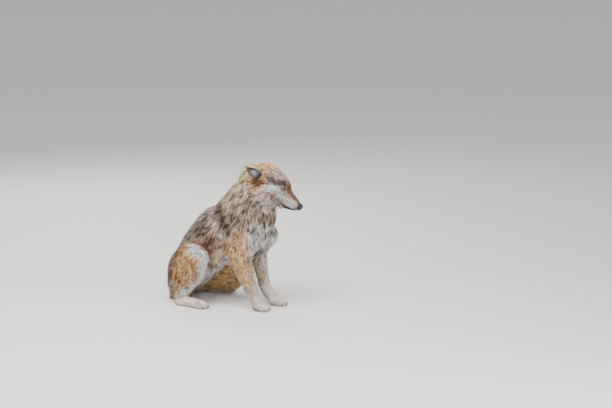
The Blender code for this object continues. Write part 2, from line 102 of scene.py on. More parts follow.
BODY_RUNS = [
    # nape, withers, back and rump
    ([(375, 15, 765), (335, 10, 700), (290, 5, 640)], 50, 58, 28, 2100),
    ([(270, 0, 620), (225, 0, 560), (170, 0, 500)], 50, 64, 26, 2200),
    ([(150, 0, 480), (85, 0, 410), (20, 0, 325)], 55, 54, 22, 2000),
    ([(0, 0, 290), (-50, 0, 200), (-90, 0, 110), (-110, 0, 40)], 55, 52, 20, 2000),
    # throat and chest
    ([(530, 50, 590), (550, 20, 540)], 40, 42, 24, 1900),
    ([(555, 0, 520), (562, 0, 450), (550, 0, 380), (520, 0, 320)], 50, 44, 20, 2000),
    ([(470, 0, 270), (380, 0, 240), (280, 0, 215), (200, 0, 150)], 50, 38, 20, 1800),
]
MIRRORED_BODY_RUNS = [
    # sides of the neck, shoulder and flank
    ([(425, 125, 700), (385, 140, 630), (345, 150, 560)], 45, 60, 28, 2100),
    ([(480, 110, 640), (470, 125, 570), (450, 130, 500)], 40, 56, 26, 2100),
    ([(520, 90, 540), (520, 100, 460), (500, 95, 390)], 40, 44, 20, 1900),
    ([(330, 140, 540), (310, 140, 470), (290, 135, 400)], 45, 50, 22, 1900),
    ([(410, 140, 460), (405, 145, 390), (405, 145, 320)], 40, 34, 18, 1600),
    ([(250, 110, 500), (190, 120, 430), (120, 120, 360), (60, 120, 290)], 45, 48, 20, 1900),
    ([(300, 130, 370), (250, 130, 310), (200, 120, 230)], 45, 44, 20, 1800),
    ([(-20, 110, 220), (-70, 100, 140), (-95, 85, 60)], 45, 48, 20, 1900),
]
# The legs differ from side to side, as do their runs.
RIGHT_LEG_RUNS = [
    ([(400, -110, 300), (430, -105, 210), (460, -98, 140), (492, -90, 65)], 26, 17, 14, 1100),
    ([(375, -105, 270), (400, -100, 200), (425, -95, 130)], 20, 36, 26, 1400),
    ([(505, -89, 55), (545, -92, 45), (590, -95, 20)], 26, 8, 12, 900),
    ([(225, -190, 310), (215, -195, 250), (200, -200, 190)], 30, 28, 18, 1600),
    ([(190, -200, 330), (130, -205, 260), (70, -200, 180), (30, -190, 100)], 38, 38, 20, 1800),
    ([(120, -180, 370), (50, -170, 290), (-10, -160, 200)], 38, 42, 20, 1800),
    ([(200, -205, 190), (140, -210, 130), (80, -205, 75)], 26, 24, 16, 1400),
    ([(60, -185, 45), (130, -190, 45), (190, -192, 40), (245, -195, 18)], 24, 9, 12, 900),
]
LEFT_LEG_RUNS = [
    ([(408, 98, 300), (428, 90, 210), (450, 84, 140), (480, 79, 65)], 26, 17, 14, 1100),
    ([(380, 95, 270), (398, 88, 200), (418, 82, 130)], 20, 34, 26, 1400),
    ([(500, 78, 55), (550, 80, 45), (595, 81, 20)], 26, 8, 12, 900),
    ([(225, 240, 150), (150, 245, 165), (70, 235, 165), (0, 200, 140)], 38, 38, 20, 1800),
    ([(180, 180, 190), (110, 180, 205), (40, 160, 200)], 38, 42, 20, 1800),
    ([(215, 250, 90), (150, 260, 70), (80, 250, 50)], 26, 24, 16, 1400),
    ([(40, 225, 40), (100, 235, 40), (150, 245, 40), (210, 255, 18)], 24, 9, 12, 900),
]
TAIL_RUNS = [
    ([(-70, 30, 130), (-95, 80, 90), (-100, 130, 80)], 35, 52, 20, 2100),
    ([(-95, 150, 80), (-75, 220, 80), (-30, 280, 75), (30, 330, 55)], 35, 52, 22, 2100),
    ([(40, 335, 45), (75, 345, 35), (105, 352, 22)], 24, 34, 20, 2200),
]
EAR_BASE = np.array([-0.0385, 0.036, 0.0785])
# The left ear lies flatter.
EAR_TIPS = {-1: np.array([-0.130, 0.045, 0.118]), 1: np.array([-0.116, 0.014, 0.112])}
EAR_RUN = 12, 5, 12, 700
MM = 1000


def coat_runs():
    """Every run as arrays: places, directions, spreads, (length, lift, width); three places to each leg."""
    rows = []
    for path, *rest in HEAD_RUNS:
        path = np.array(path) / MM
        for side in ((1, -1) if abs(path[:, 2]).max() > 0 else (1,)):
            rows.append((on_head(path * (1, 1, side)), rest))
    for side, tip in EAR_TIPS.items():
        rows.append((on_head(np.array([EAR_BASE, (EAR_BASE + tip) / 2, tip]) * (1, 1, side)), EAR_RUN))
    for path, *rest in BODY_RUNS + RIGHT_LEG_RUNS + LEFT_LEG_RUNS + TAIL_RUNS:
        rows.append((np.array(path) / MM, rest))
    for path, *rest in MIRRORED_BODY_RUNS:
        rows += [(np.array(path) / MM * (1, side, 1), rest) for side in (1, -1)]
    places, directions, spreads, hairs = [], [], [], []
    for path, (spread, length, lift, width) in rows:
        for start, end in zip(path, path[1:]):
            for share in (0.1, 0.5, 0.9):
                places.append(start + (end - start) * share)
                directions.append(unit(end - start))
                spreads.append(spread / MM)
                hairs.append((length / MM, math.radians(lift), width / MM ** 2))
    return np.array(places), np.array(directions), np.array(spreads), np.array(hairs)


RUN_PLACES, RUN_DIRECTIONS, RUN_SPREADS, RUN_HAIRS = coat_runs()


def coat_at(points):
    """The lie, and the hair's (length, lift, width), at points.

    Each run's place weighs by one over the cube of its squared distance in spreads, plus a little.
    """
    lies, hairs = [], []
    for some in np.array_split(points, max(1, len(points) // 20000)):
        apart = ((some[:, None, :] - RUN_PLACES) ** 2).sum(2) / RUN_SPREADS ** 2
        weight = 1 / (apart + 0.15) ** 3
        weight /= weight.sum(1, keepdims=True)
        lies.append(weight @ RUN_DIRECTIONS)
        hairs.append(weight @ RUN_HAIRS)
    return unit(np.concatenate(lies)), np.concatenate(hairs)


# A lock's root stands up steeper than its lift and its tip lies flatter; it bends at a share of its length.
ROOT_STEEP, TIP_STEEP, BEND_AT = 1.35, 0.45, 0.45


def coat_depth(hairs):
    """How far a lock's tip stands off the skin: its steep root part and its flat tip part, by their sines."""
    length, lift = hairs[:, 0], hairs[:, 1]
    return length * (BEND_AT * np.sin(ROOT_STEEP * lift) + (1 - BEND_AT) * np.sin(TIP_STEEP * lift))


# ================================================================ skin
# The hide over flesh and bone is one closed surface without a seam. It takes the solids' outline, closes
# their thin cuts and lies inside them by the depth of the coat.
FINE_VOXEL, SKIN_VOXEL = 0.0040, 0.0057
SHORT_SINK, LONG_SINK = 0.45, 0.70     # shares of the coat's depth that the hide lies inside the outline
SHORT_DEPTH = 0.0012                   # and how far on face and feet
SINK_STEPS = 10
EAR_STUMP = 0.010
SKIN_CLEAR, HAIR_CLEAR = 0.0012, 0.0006     # heights above the floor


def rows_of(elements, key, width, kind=np.float32):
    """One property of a mesh's elements, as rows."""
    values = np.empty(len(elements) * width, kind)
    elements.foreach_get(key, values)
    return values.reshape(-1, width)


def points_of(mesh):
    """A mesh's points."""
    return rows_of(mesh.vertices, "co", 3).astype(float)


def edges_of(mesh):
    """The numbers of the points at both ends of each edge."""
    return rows_of(mesh.edges, "vertices", 2, np.int32)


def normals_of(mesh):
    """The normals at a mesh's points."""
    return rows_of(mesh.vertex_normals, "vector", 3).astype(float)


def set_points(mesh, points):
    """Moves a mesh's points to new places."""
    mesh.vertices.foreach_set("co", np.asarray(points, np.float32).ravel())
    mesh.update()


def linked(name, data):
    """A new object in the scene."""
    thing = bpy.data.objects.new(name, data)
    bpy.context.scene.collection.objects.link(thing)
    return thing


@contextlib.contextmanager
def edited(mesh):
    """The mesh as a bmesh, which is written back afterwards."""
    bm = bmesh.new()
    bm.from_mesh(mesh)
    yield bm
    bm.to_mesh(mesh)
    bm.free()
    mesh.update()


def surface_from(name, points, faces):
    """A mesh object from arrays of points and of equal-sided faces, smooth shaded, on the object's origin."""
    mesh = bpy.data.meshes.new(name)
    sides = faces.shape[1]
    mesh.vertices.add(len(points))
    mesh.vertices.foreach_set("co", np.asarray(points, np.float32).ravel())
    mesh.loops.add(faces.size)
    mesh.loops.foreach_set("vertex_index", faces.astype(np.int32).ravel())
    mesh.polygons.add(len(faces))
    mesh.polygons.foreach_set("loop_start", np.arange(0, faces.size, sides, dtype=np.int32))
    mesh.update(calc_edges=True)
    mesh.shade_smooth()
    return linked(name, mesh)


def modified(thing, kind, **settings):
    """Applies a modifier to the thing's own mesh."""
    step = thing.modifiers.new(kind.lower(), kind)
    for name, value in settings.items():
        setattr(step, name, value)
    view = thing.evaluated_get(bpy.context.evaluated_depsgraph_get())
    mesh = bpy.data.meshes.new_from_object(view)
    thing.modifiers.clear()
    thing.data = mesh
    return thing


def remeshed(thing, voxel):
    """One closed surface round the thing, from cubes of the voxel's size."""
    return modified(thing, "REMESH", mode="VOXEL", voxel_size=voxel)


def relaxed(points, edges, rounds, share=0.5):
    """Moves every point towards the mean of its neighbours; share may differ from point to point."""
    ends = np.concatenate([edges, edges[:, ::-1]])
    degree = np.maximum(np.bincount(ends[:, 0], minlength=len(points)), 1)[:, None]
    share = np.asarray(share, float).reshape(-1, 1) if np.ndim(share) else share
    for _ in range(rounds):
        mean = np.stack([np.bincount(ends[:, 0], weights=points[ends[:, 1], k], minlength=len(points))
                         for k in range(3)], 1) / degree
        points = points + (mean - points) * share
    return points


def ear_axes(side):
    """An ear's root and length, and its directions: towards the tip, out of the hollow and across both."""
    base, tip = on_head(EAR_BASE * (1, 1, side)), on_head(EAR_TIPS[side] * (1, 1, side))
    along = unit(tip - base)
    outward = np.array([-0.10, -0.10, side * 1.0]) @ HEAD_AXES
    outward = unit(outward - along * (outward @ along))
    return base, np.linalg.norm(tip - base), along, outward, np.cross(along, outward)


def ear_places(points):
    """For each ear its length, its direction, and how far points lie up it, out of it and across it."""
    for side in (-1, 1):
        base, length, *axes = ear_axes(side)
        yield length, axes[0], *((points - base) @ axis for axis in axes)


def joined_solids():
    """A copy of every solid in one mesh, with the ears cut down to stumps."""
    mesh = bpy.data.meshes.new("outline")
    with edited(mesh) as bm:
        for name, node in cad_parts.items():
            copy = node.data.copy()
            if name.startswith("ear_"):
                base, _, along, _, _ = ear_axes(1 if name.endswith("left") else -1)
                points = points_of(copy)
                past = np.maximum((points - base) @ along - EAR_STUMP, 0)
                set_points(copy, points - along * past[:, None])
            bm.from_mesh(copy)
        bmesh.ops.remove_doubles(bm, verts=bm.verts[:], dist=0.00001)
    return linked("outline", mesh)


def sunk_skin():
    """Draws the merged solids in by the coat's depth, in small steps with smoothing between them."""
    skin = linked("skin", outline.data.copy())
    edges = edges_of(skin.data)
    points = relaxed(points_of(skin.data), edges, 2)
    hairs = coat_at(points)[1]
    sink = SHORT_SINK + (LONG_SINK - SHORT_SINK) * ramp(hairs[:, 0], 0.018, 0.045)
    depth = coat_depth(hairs) * sink + 0.0004
    grounded = ramp(points[:, 2], 0.002, 0.045)
    for _ in range(SINK_STEPS):
        set_points(skin.data, points)
        move = -normals_of(skin.data) * (depth / SINK_STEPS)[:, None]
        move[:, 2] *= grounded
        points = relaxed(points + move, edges, 2, 0.35 * ramp(depth, 0.002, 0.012))
    points[:, 2] = np.maximum(points[:, 2], SKIN_CLEAR)
    set_points(skin.data, points)
    return remeshed(skin, SKIN_VOXEL)


outline = remeshed(joined_solids(), FINE_VOXEL)
skin = sunk_skin()


# ---------------------------------------------------------------- finer skin on head and paws
# The face and paws need finer faces than the trunk: one halving there, one more along the mouth and round the
# eyes, and a third at the lids.
EYE_AT, EYE_RADIUS = np.array([0.0940, 0.0785, 0.0365]), 0.0125
NOSE_AT, NOSE_RADII = np.array([0.2445, 0.0205, 0.0]), np.array([0.0225, 0.0205, 0.0222])
MOUTH_CORNER, MOUTH_FRONT = np.array([0.146, -0.018]), np.array([0.243, -0.008])
# A paw: the wrist's place on the floor, heading in degrees, width and length.
PAWS = [((0.492, -0.089), -4, 0.086, 0.098), ((0.502, 0.077), 2, 0.086, 0.105),
        ((0.165, -0.186), -6, 0.076, 0.092), ((0.094, 0.231), 10, 0.076, 0.092)]
TOE_REACHES = (0.86, 1.0, 1.0, 0.84)


def paw_axes(heading):
    """The directions ahead of a paw and to its left, by its heading's cosine and sine."""
    turn = math.radians(heading)
    return np.array([math.cos(turn), math.sin(turn), 0]), np.array([-math.sin(turn), math.cos(turn), 0])


def paw_places(points):
    """For each paw its width and length, and how far points lie ahead of its wrist and to its left."""
    for (x, y), heading, width, length in PAWS:
        ahead, left = paw_axes(heading)
        rel = points - (x, y, 0)
        yield width, length, rel @ ahead, rel @ left


def halve(chosen):
    """Splits the skin's edges whose both ends are chosen."""
    with edited(skin.data) as bm:
        bm.verts.ensure_lookup_table()
        edges = [edge for edge in bm.edges if chosen[edge.verts[0].index] and chosen[edge.verts[1].index]]
        bmesh.ops.subdivide_edges(bm, edges=edges, cuts=1, use_grid_fill=True)


def from_eye(places):
    """The distance from the middle of the eye on the same side."""
    return np.linalg.norm(folded(places, 2) - EYE_AT, axis=1)


def from_nose(places):
    """The distance from the middle of the nose, in the nose's own radii."""
    return np.linalg.norm((places - NOSE_AT) / NOSE_RADII, axis=1)


def off_mouth(places):
    """The height above the closed mouth's line, which sags by a sine between its corner and its front."""
    share = np.clip((places[:, 0] - MOUTH_CORNER[0]) / (MOUTH_FRONT[0] - MOUTH_CORNER[0]), 0, 1)
    line = MOUTH_CORNER[1] + (MOUTH_FRONT[1] - MOUTH_CORNER[1]) * share - 0.006 * np.sin(share * math.pi)
    return places[:, 1] - line


def on_paws(points):
    """Whether points lie in a box round a paw's toes, set by its length and width."""
    chosen = np.zeros(len(points), bool)
    for width, length, ahead, left in paw_places(points):
        chosen |= (ahead > length * 0.30) & (ahead < length * 1.2) & (np.abs(left) < width * 0.62) \
            & (points[:, 2] < 0.055)
    return chosen


def refine():
    """Halves the edges on head and paws in three rounds, and smooths the skin there."""
    points = points_of(skin.data)
    along, above, beside = head_places(points).T
    halve(on_paws(points) | (along > 0.03) & (along < 0.27) & (above > -0.06) & (np.abs(beside) < 0.09))
    places = head_places(points_of(skin.data))
    mouth = (places[:, 0] > 0.138) & (places[:, 0] < 0.27) & (np.abs(off_mouth(places)) < 0.011)
    halve((from_eye(places) < 0.026) | mouth | (from_nose(places) < 1.5))
    halve(from_eye(head_places(points_of(skin.data))) < 0.019)
    points = points_of(skin.data)
    along, above, _ = head_places(points).T
    smooth = np.maximum(ramp(along, 0.02, 0.05) * (above > -0.09), 0.5 * on_paws(points))
    set_points(skin.data, relaxed(points, edges_of(skin.data), 3, 0.5 * smooth))


refine()


def hug_outline():
    """Sets the skin just inside the outline where the coat is short, so that jaw and paws stay full."""
    short = 1 - ramp(coat_at(points_of(skin.data))[1][:, 0], 0.014, 0.026)
    group = skin.vertex_groups.new(name="short")
    for share in range(1, 11):
        here = np.flatnonzero(np.round(short * 10) == share)
        group.add(here.tolist(), share / 10, "REPLACE")
    modified(skin, "SHRINKWRAP", target=outline, wrap_method="NEAREST_SURFACEPOINT",
             wrap_mode="OUTSIDE_SURFACE", offset=-SHORT_DEPTH, vertex_group="short")
    skin.vertex_groups.clear()
    bpy.data.objects.remove(outline)
    points = relaxed(points_of(skin.data), edges_of(skin.data), 1, 0.4)
    points[:, 2] = np.maximum(points[:, 2], SKIN_CLEAR)
    set_points(skin.data, points)


hug_outline()


def eye_axes(side):
    """The gaze, the slit's length and its height, as world directions."""
    gaze = unit(np.array([0.52, 0.12, side * 0.84]) @ HEAD_AXES)
    slit = np.array([0.80, -0.22, -side * 0.55]) @ HEAD_AXES
    slit = unit(slit - gaze * (slit @ gaze))
    rise = np.cross(slit, gaze)
    return gaze, slit, rise * np.sign(rise @ HEAD_UP)


LID_HALF_LENGTH, UPPER_LID, LOWER_LID, LID_THICKNESS = 0.0124, 0.0056, 0.0044, 0.0017


def almond(along, across):
    """1 on the opening's rim, and in proportion to the distance inside and outside it.

    The rim is two parabolas that meet at the corners: |across| / height = 1 - (along / half length)^2.
    """
    flat = along / LID_HALF_LENGTH
    tall = np.abs(across) / np.where(across > 0, UPPER_LID, LOWER_LID)
    return (tall + np.sqrt(tall ** 2 + 4 * flat ** 2)) / 2


def eye_places(points, side):
    """Places by an eye: out along the gaze, along the slit and up across it, and the almond's measure."""
    rel = points - on_head(EYE_AT * (1, 1, side))
    out, along, across = (rel @ axis for axis in eye_axes(side))
    return out, along, across, almond(along, across)


def sculpt_lids(points):
    """Opens an almond over each eyeball. Round it the skin stands over the ball as thick lids, which blend
    into the head, and inside it the skin drops behind the ball. Points by the rim are drawn onto it.
    """
    for side in (-1, 1):
        gaze, slit, rise = eye_axes(side)
        out, along, across, rim = eye_places(points, side)
        off = np.hypot(along, across)
        here = (out > -0.006) & (off < EYE_RADIUS * 1.9)
        crown = EYE_RADIUS + LID_THICKNESS
        lid = crown * (1 - 0.5 * (off / crown) ** 2)
        lid += 0.0012 * np.exp(-((rim - 1.25) / 0.25) ** 2) * (across > 0)
        blend = 1 - ramp(off, EYE_RADIUS * 0.85, EYE_RADIUS * 1.9)
        behind = np.sqrt(np.maximum(EYE_RADIUS ** 2 - off ** 2, (EYE_RADIUS * 0.3) ** 2)) - 0.003
        height = np.where(rim < 1, behind, out + (lid - out) * blend)
        snap = np.where((rim > 0.8) & (rim < 1), 0.97 / rim,
                        np.where((rim >= 1) & (rim < 1.22), 1.03 / rim, 1))
        moved = on_head(EYE_AT * (1, 1, side)) + gaze * height[:, None] \
            + slit * (along * snap)[:, None] + rise * (across * snap)[:, None]
        points = np.where(here[:, None], moved, points)
    return points


def at_lips(places, rear, front):
    """1 along the mouth, rising from 0 between two places by its corner."""
    return ramp(places[:, 0], MOUTH_CORNER[0] + rear, MOUTH_CORNER[0] + front) * (np.abs(places[:, 2]) < 0.05)


def sculpt_mouth(points):
    """Presses the closed mouth's line into the muzzle, and fills the lips above and below it as bells."""
    places = head_places(points)
    off = off_mouth(places)
    depth = 0.0050 * np.exp(-(off / 0.0024) ** 2) - 0.0022 * np.exp(-((off - 0.008) / 0.005) ** 2) \
        - 0.0012 * np.exp(-((off + 0.007) / 0.003) ** 2)
    inward = np.stack([np.full(len(places), -0.25), np.zeros(len(places)), -np.sign(places[:, 2])], 1)
    return points + unit(inward @ HEAD_AXES) * (depth * at_lips(places, -0.004, 0.012))[:, None]


def bare_nose(points):
    """Draws the skin over the nose back inside the leather, so that the leather shows."""
    rel = (head_places(points) - NOSE_AT) / NOSE_RADII
    apart = np.maximum(np.linalg.norm(rel, axis=1), 1e-6)
    inside = rel * (0.84 / apart)[:, None] * NOSE_RADII + NOSE_AT
    return np.where(((apart < 1.14) & (rel[:, 0] > -0.55))[:, None], on_head(inside), points)


def sculpt_toes(points, normals):
    """Presses three grooves into each paw between its four toes; their depth falls off as a bell."""
    depth = np.zeros(len(points))
    for width, length, ahead, left in paw_places(points):
        along, beside = ahead / length, left / width
        fan = 0.27 + 0.09 * np.clip((along - 0.34) / 0.46, 0, 1)
        near = ramp(along, 0.36, 0.58) * (along < 1.2) * (np.abs(beside) < 0.6) * (points[:, 2] < 0.06)
        for place in (-2 / 3, 0, 2 / 3):
            off = (beside - place * fan) * width
            depth += 0.0052 * np.exp(-(off / 0.0032) ** 2) * near
    return points - normals * (depth * ramp(points[:, 2], 0.001, 0.010))[:, None]


def shape_skin():
    """Sculpts the toes, the lids, the mouth and the place of the nose, one after another."""
    points = sculpt_toes(points_of(skin.data), normals_of(skin.data))
    set_points(skin.data, bare_nose(sculpt_mouth(sculpt_lids(points))))


shape_skin()


# ---------------------------------------------------------------- ears
# An ear is a thin cup of gristle. Its sections open from a thick root into a crescent, hollow outwards, and
# close to a rounded tip. It is fused with the skin of the head.
EAR_HALF_WIDTH, EAR_HOLLOW, EAR_THICKNESS, EAR_ROOT = 0.031, 0.020, 0.0052, 0.018


def ear_section(shares):
    """Half width, bend and half thickness of the sections at shares of the ear's length."""
    narrow = (1 - (np.clip(shares - 0.15, 0, 0.85) / 0.85) ** 1.7) ** 0.75
    opening = ramp(shares, 0.02, 0.35)
    half_width = EAR_HALF_WIDTH * narrow * (0.82 + 0.18 * ramp(shares, 0, 0.15))
    half_thickness = EAR_THICKNESS / 2 * (0.35 + 0.65 * narrow) * (4.2 - 3.2 * opening)
    return half_width, EAR_HOLLOW * narrow * opening, half_thickness


def ring_faces(rings, around, first=0):
    """The numbers of points that lie in closed rings, ring by ring, and the quads between the rings."""
    index = np.arange(rings * around).reshape(rings, around) + first
    after = np.roll(index, -1, 1)
    return index, np.stack([index[:-1], after[:-1], after[1:], index[1:]], -1).reshape(-1, 4)


def ear_shell(side):
    """Sections go round by an angle: across by its cosine, thick by its sine, bent by the sine squared."""
    base, length, along, outward, across = ear_axes(side)
    shares = np.concatenate([[-EAR_ROOT / length], np.linspace(-0.05, 0.985, 30)])
    angles = np.linspace(0, 2 * math.pi, 44, endpoint=False)
    half_width, bend, half_thickness = ear_section(shares)
    cos, sin = np.cos(angles), np.sin(angles)
    points = ((base + along * (length * shares)[:, None])[:, None, :]
              + across * (half_width[:, None] * cos)[..., None]
              + outward * (half_thickness[:, None] * sin - bend[:, None] * sin ** 2)[..., None])
    index, quads = ring_faces(len(shares), len(angles))
    mesh = bpy.data.meshes.new("ear_shell")
    with edited(mesh) as bm:
        corners = [bm.verts.new(place) for place in points.reshape(-1, 3)]
        for face in [*quads, index[0][::-1], index[-1]]:
            bm.faces.new([corners[k] for k in face])
        bmesh.ops.recalc_face_normals(bm, faces=bm.faces[:])
        bmesh.ops.triangulate(bm, faces=bm.faces[:])
    return linked("ear_shell", mesh)


def fuse_ears():
    """Unites each ear's shell with the skin."""
    for side in (-1, 1):
        shell = ear_shell(side)
        modified(skin, "BOOLEAN", operation="UNION", solver="MANIFOLD", object=shell)
        bpy.data.objects.remove(shell)


fuse_ears()
skin.data.shade_smooth()


# ================================================================ markings
# Agouti hair: pale near the skin, banded, and dark at the tip where the coat is grizzled; the locks' roots
# and the hide are painted darker all the same, as the shade deep in the coat. Each marking is a soft stroke
# along a path on the coat in millimetres, with its reach, its colour, the share of its hairs that end dark,
# and its strength. Later strokes lie over earlier ones.
def linear(colour):
    """Linear light of a colour given in the usual 0 to 255 steps."""
    value = np.asarray(colour, float) / 255
    return np.where(value > 0.04045, ((value + 0.055) / 1.055) ** 2.4, value / 12.92)


GROUND_COLOUR, GROUND_DARK = (176, 152, 128), 0.35
# Alike on both sides of the trunk: along, out from the middle, up.
BODY_MARKS = [
    # nape and neck: pale straw with dark patches
    ([(400, 50, 760), (300, 50, 620)], 130, (238, 184, 130), 0.46, 1.0),
    ([(420, 130, 660), (380, 130, 560)], 90, (202, 182, 160), 0.50, 0.9),
    ([(470, 120, 640), (455, 130, 610)], 36, (124, 98, 80), 0.65, 1.0),
    ([(430, 130, 540), (370, 140, 530)], 40, (132, 110, 94), 0.65, 0.95),
    # throat
    ([(530, 60, 600)], 55, (134, 120, 110), 0.48, 0.9),
    ([(550, 50, 520)], 50, (128, 116, 108), 0.50, 0.9),
    ([(535, 60, 625), (550, 70, 570)], 17, (232, 228, 224), 0.05, 0.9),
    # chest: pale, painted darker low down as shade, and a painted shadow under the ruff's edge
    ([(500, 90, 430), (540, 30, 400), (480, 60, 350)], 75, (232, 224, 218), 0.28, 0.95),
    # painted shade on the lower chest
    ([(490, 20, 325)], 45, (146, 134, 126), 0.40, 0.85),
    # painted shadow that the neck's ruff casts on the chest along its lower edge
    ([(446, 125, 473), (494, 95, 457), (528, 63, 447), (562, 8, 450)], 17, (78, 67, 62), 0.60, 0.95),
    # shoulder
    ([(410, 155, 420), (405, 160, 330)], 55, (214, 166, 132), 0.32, 0.9),
    # dark saddle from the withers to the tail, and painted shade behind the neck's ruff
    ([(210, 0, 560), (100, 0, 440), (0, 0, 310), (-70, 0, 200)], 105, (156, 142, 134), 0.70, 1.0),
    ([(190, 110, 475), (150, 120, 415)], 38, (126, 113, 108), 0.70, 0.9),
    # painted shade in the crease between the neck's ruff and the shoulder
    ([(275, 85, 590), (305, 120, 550), (345, 140, 485)], 40, (112, 96, 86), 0.65, 1.0),
    # white on the withers and the silver streak behind the shoulder
    ([(168, 36, 530), (205, 60, 543), (240, 76, 552)], 18, (255, 254, 254), 0.00, 1.0),
    ([(262, 119, 510), (289, 131, 471), (296, 136, 435)], 15, (250, 244, 242), 0.12, 0.95),
    # flank and belly
    ([(270, 130, 390), (230, 130, 340)], 46, (136, 110, 92), 0.55, 0.95),
    ([(300, 110, 315), (245, 90, 270)], 42, (232, 198, 164), 0.20, 0.9),
    ([(330, 0, 240), (230, 0, 190), (140, 0, 140)], 90, (238, 218, 200), 0.08, 0.95),
    # rear of the rump
    ([(-90, 90, 120)], 60, (170, 148, 128), 0.40, 0.8),
]
# The two sides' legs are told apart: along, to the left, up.
LEG_MARKS = [
    # right thigh
    ([(140, -200, 290), (60, -200, 180)], 80, (234, 168, 114), 0.36, 1.0),
    ([(40, -200, 100)], 60, (232, 178, 134), 0.15, 0.9),
    ([(60, -165, 310), (0, -165, 200), (-45, -145, 110)], 46, (130, 110, 96), 0.55, 0.95),
    # rust line round the thigh; from the knee down the shank's front, pale hair painted white as a highlight
    ([(85, -190, 310), (118, -172, 346), (150, -145, 362), (203, -135, 352), (224, -125, 320),
     (226, -115, 280), (210, -95, 215)], 16, (158, 96, 50), 0.25, 1.0),
    # pale hair, painted white as the highlight along the shin
    ([(165, -185, 330), (208, -190, 318), (232, -200, 285), (230, -190, 225), (205, -180, 165),
     (151, -190, 103), (108, -203, 79)], 23, (250, 246, 246), 0.05, 1.0),
    # left thigh and shank, warm ochre
    ([(170, 180, 110), (80, 190, 110)], 110, (255, 190, 134), 0.04, 1.0),
    # hind feet
    ([(70, -185, 30), (240, -190, 20)], 36, (250, 230, 216), 0.03, 1.0),
    ([(40, 225, 30), (200, 250, 20)], 36, (226, 208, 188), 0.03, 1.0),
    # forelegs: tan outside, pale in front, with small dark and tan spots
    ([(405, -120, 320), (445, -110, 190)], 66, (244, 180, 136), 0.22, 1.0),
    ([(470, -80, 240), (510, -80, 100)], 30, (230, 220, 212), 0.05, 0.8),
    ([(410, 100, 320), (440, 100, 190)], 58, (204, 178, 156), 0.20, 1.0),
    ([(470, 80, 240), (500, 80, 100)], 30, (222, 214, 208), 0.05, 0.8),
    ([(480, -90, 90), (570, -95, 20)], 46, (252, 226, 214), 0.03, 1.0),
    ([(480, 80, 90), (570, 80, 20)], 46, (246, 224, 212), 0.03, 1.0),
    ([(400, -110, 160)], 30, (228, 220, 214), 0.03, 0.8),
    ([(412, -125, 340), (428, -125, 260)], 36, (246, 166, 112), 0.25, 0.8),
    ([(455, -80, 215), (462, -85, 190)], 16, (206, 148, 112), 0.30, 0.7),
    ([(455, 55, 200), (470, 60, 150)], 16, (176, 146, 124), 0.30, 0.7),
    ([(490, -115, 90), (482, -120, 110)], 13, (204, 156, 124), 0.10, 0.8),
    ([(530, -110, 30)], 14, (208, 164, 134), 0.05, 0.7),
    ([(435, -155, 344)], 12, (76, 66, 62), 0.30, 0.9),
    # tail
    ([(-80, 60, 100), (-90, 140, 70), (-30, 280, 60)], 62, (158, 138, 118), 0.50, 1.0),
    ([(70, 340, 30), (110, 345, 25)], 45, (52, 47, 44), 0.80, 1.0),
]
# Alike on both sides of the head: along, above, beside.
HEAD_MARKS = [
    # orange crown, speckled forehead, brow, rust bridge
    ([(-40, 105, 0), (5, 115, 20)], 45, (228, 144, 90), 0.26, 1.0),
    ([(17, 98, 60), (40, 105, 30), (75, 98, 30)], 30, (184, 162, 148), 0.62, 1.0),
    ([(100, 106, 10), (118, 92, 20)], 14, (164, 136, 116), 0.50, 0.9),
    ([(132, 84, 0), (228, 50, 0)], 26, (130, 96, 76), 0.38, 1.0),
    ([(132, 74, 32), (169, 56, 20), (215, 44, 16)], 18, (122, 92, 74), 0.42, 1.0),
    ([(140, 46, 42), (175, 28, 33), (215, 22, 28)], 10, (196, 168, 146), 0.24, 0.8),
    ([(224, 50, 0), (236, 40, 20)], 13, (84, 66, 62), 0.20, 0.9),
    # white cheek and muzzle side, with a grey stroke of painted shade in the crease between them
    ([(77, 48, 72), (61, 31, 80), (45, 18, 88)], 20, (218, 218, 226), 0.24, 1.0),
    ([(32, 4, 97), (12, -16, 102)], 15, (206, 200, 200), 0.34, 0.65),
    ([(104, 26, 58), (125, 10, 46), (154, 6, 38), (215, 2, 30)], 18, (184, 178, 180), 0.26, 1.0),
    # painted shade in the crease between cheek and muzzle
    ([(104, 44, 55), (103, 10, 57)], 7, (160, 148, 140), 0.40, 0.6),
    # dark round and under the eye, and the dark streak from it to the ear
    ([(97, 82, 45)], 19, (104, 84, 74), 0.55, 0.95),
    ([(118, 64, 40), (112, 51, 53)], 11, (116, 92, 80), 0.50, 0.9),
    ([(82, 70, 60), (50, 64, 80), (24, 60, 82)], 18, (86, 80, 80), 0.60, 0.95),
    ([(22, 51, 86), (5, 32, 90)], 13, (92, 80, 74), 0.60, 0.8),
    # tan before the ear and the rust shadow under it
    ([(-14, 58, 83)], 18, (206, 160, 122), 0.25, 0.9),
    ([(-12, 16, 98), (-45, 8, 92)], 24, (112, 76, 52), 0.50, 1.0),
    # dark lips
    ([(148, -16, 34), (172, -22, 30), (200, -23, 22), (232, -13, 12)], 8, (58, 50, 54), 0.30, 1.0),
    ([(172, -34, 24), (205, -33, 16), (235, -22, 6)], 12, (84, 74, 78), 0.25, 0.9),
    ([(238, -8, 0), (232, 2, 20)], 11, (112, 98, 96), 0.20, 0.9),
    # jaw and chin
    ([(60, -50, 70), (120, -40, 40)], 32, (176, 162, 152), 0.35, 0.9),
    ([(150, -48, 10), (190, -40, 0)], 18, (178, 164, 156), 0.20, 0.9),
    ([(200, -30, 0), (235, -22, 0)], 17, (96, 86, 88), 0.20, 0.9),
]


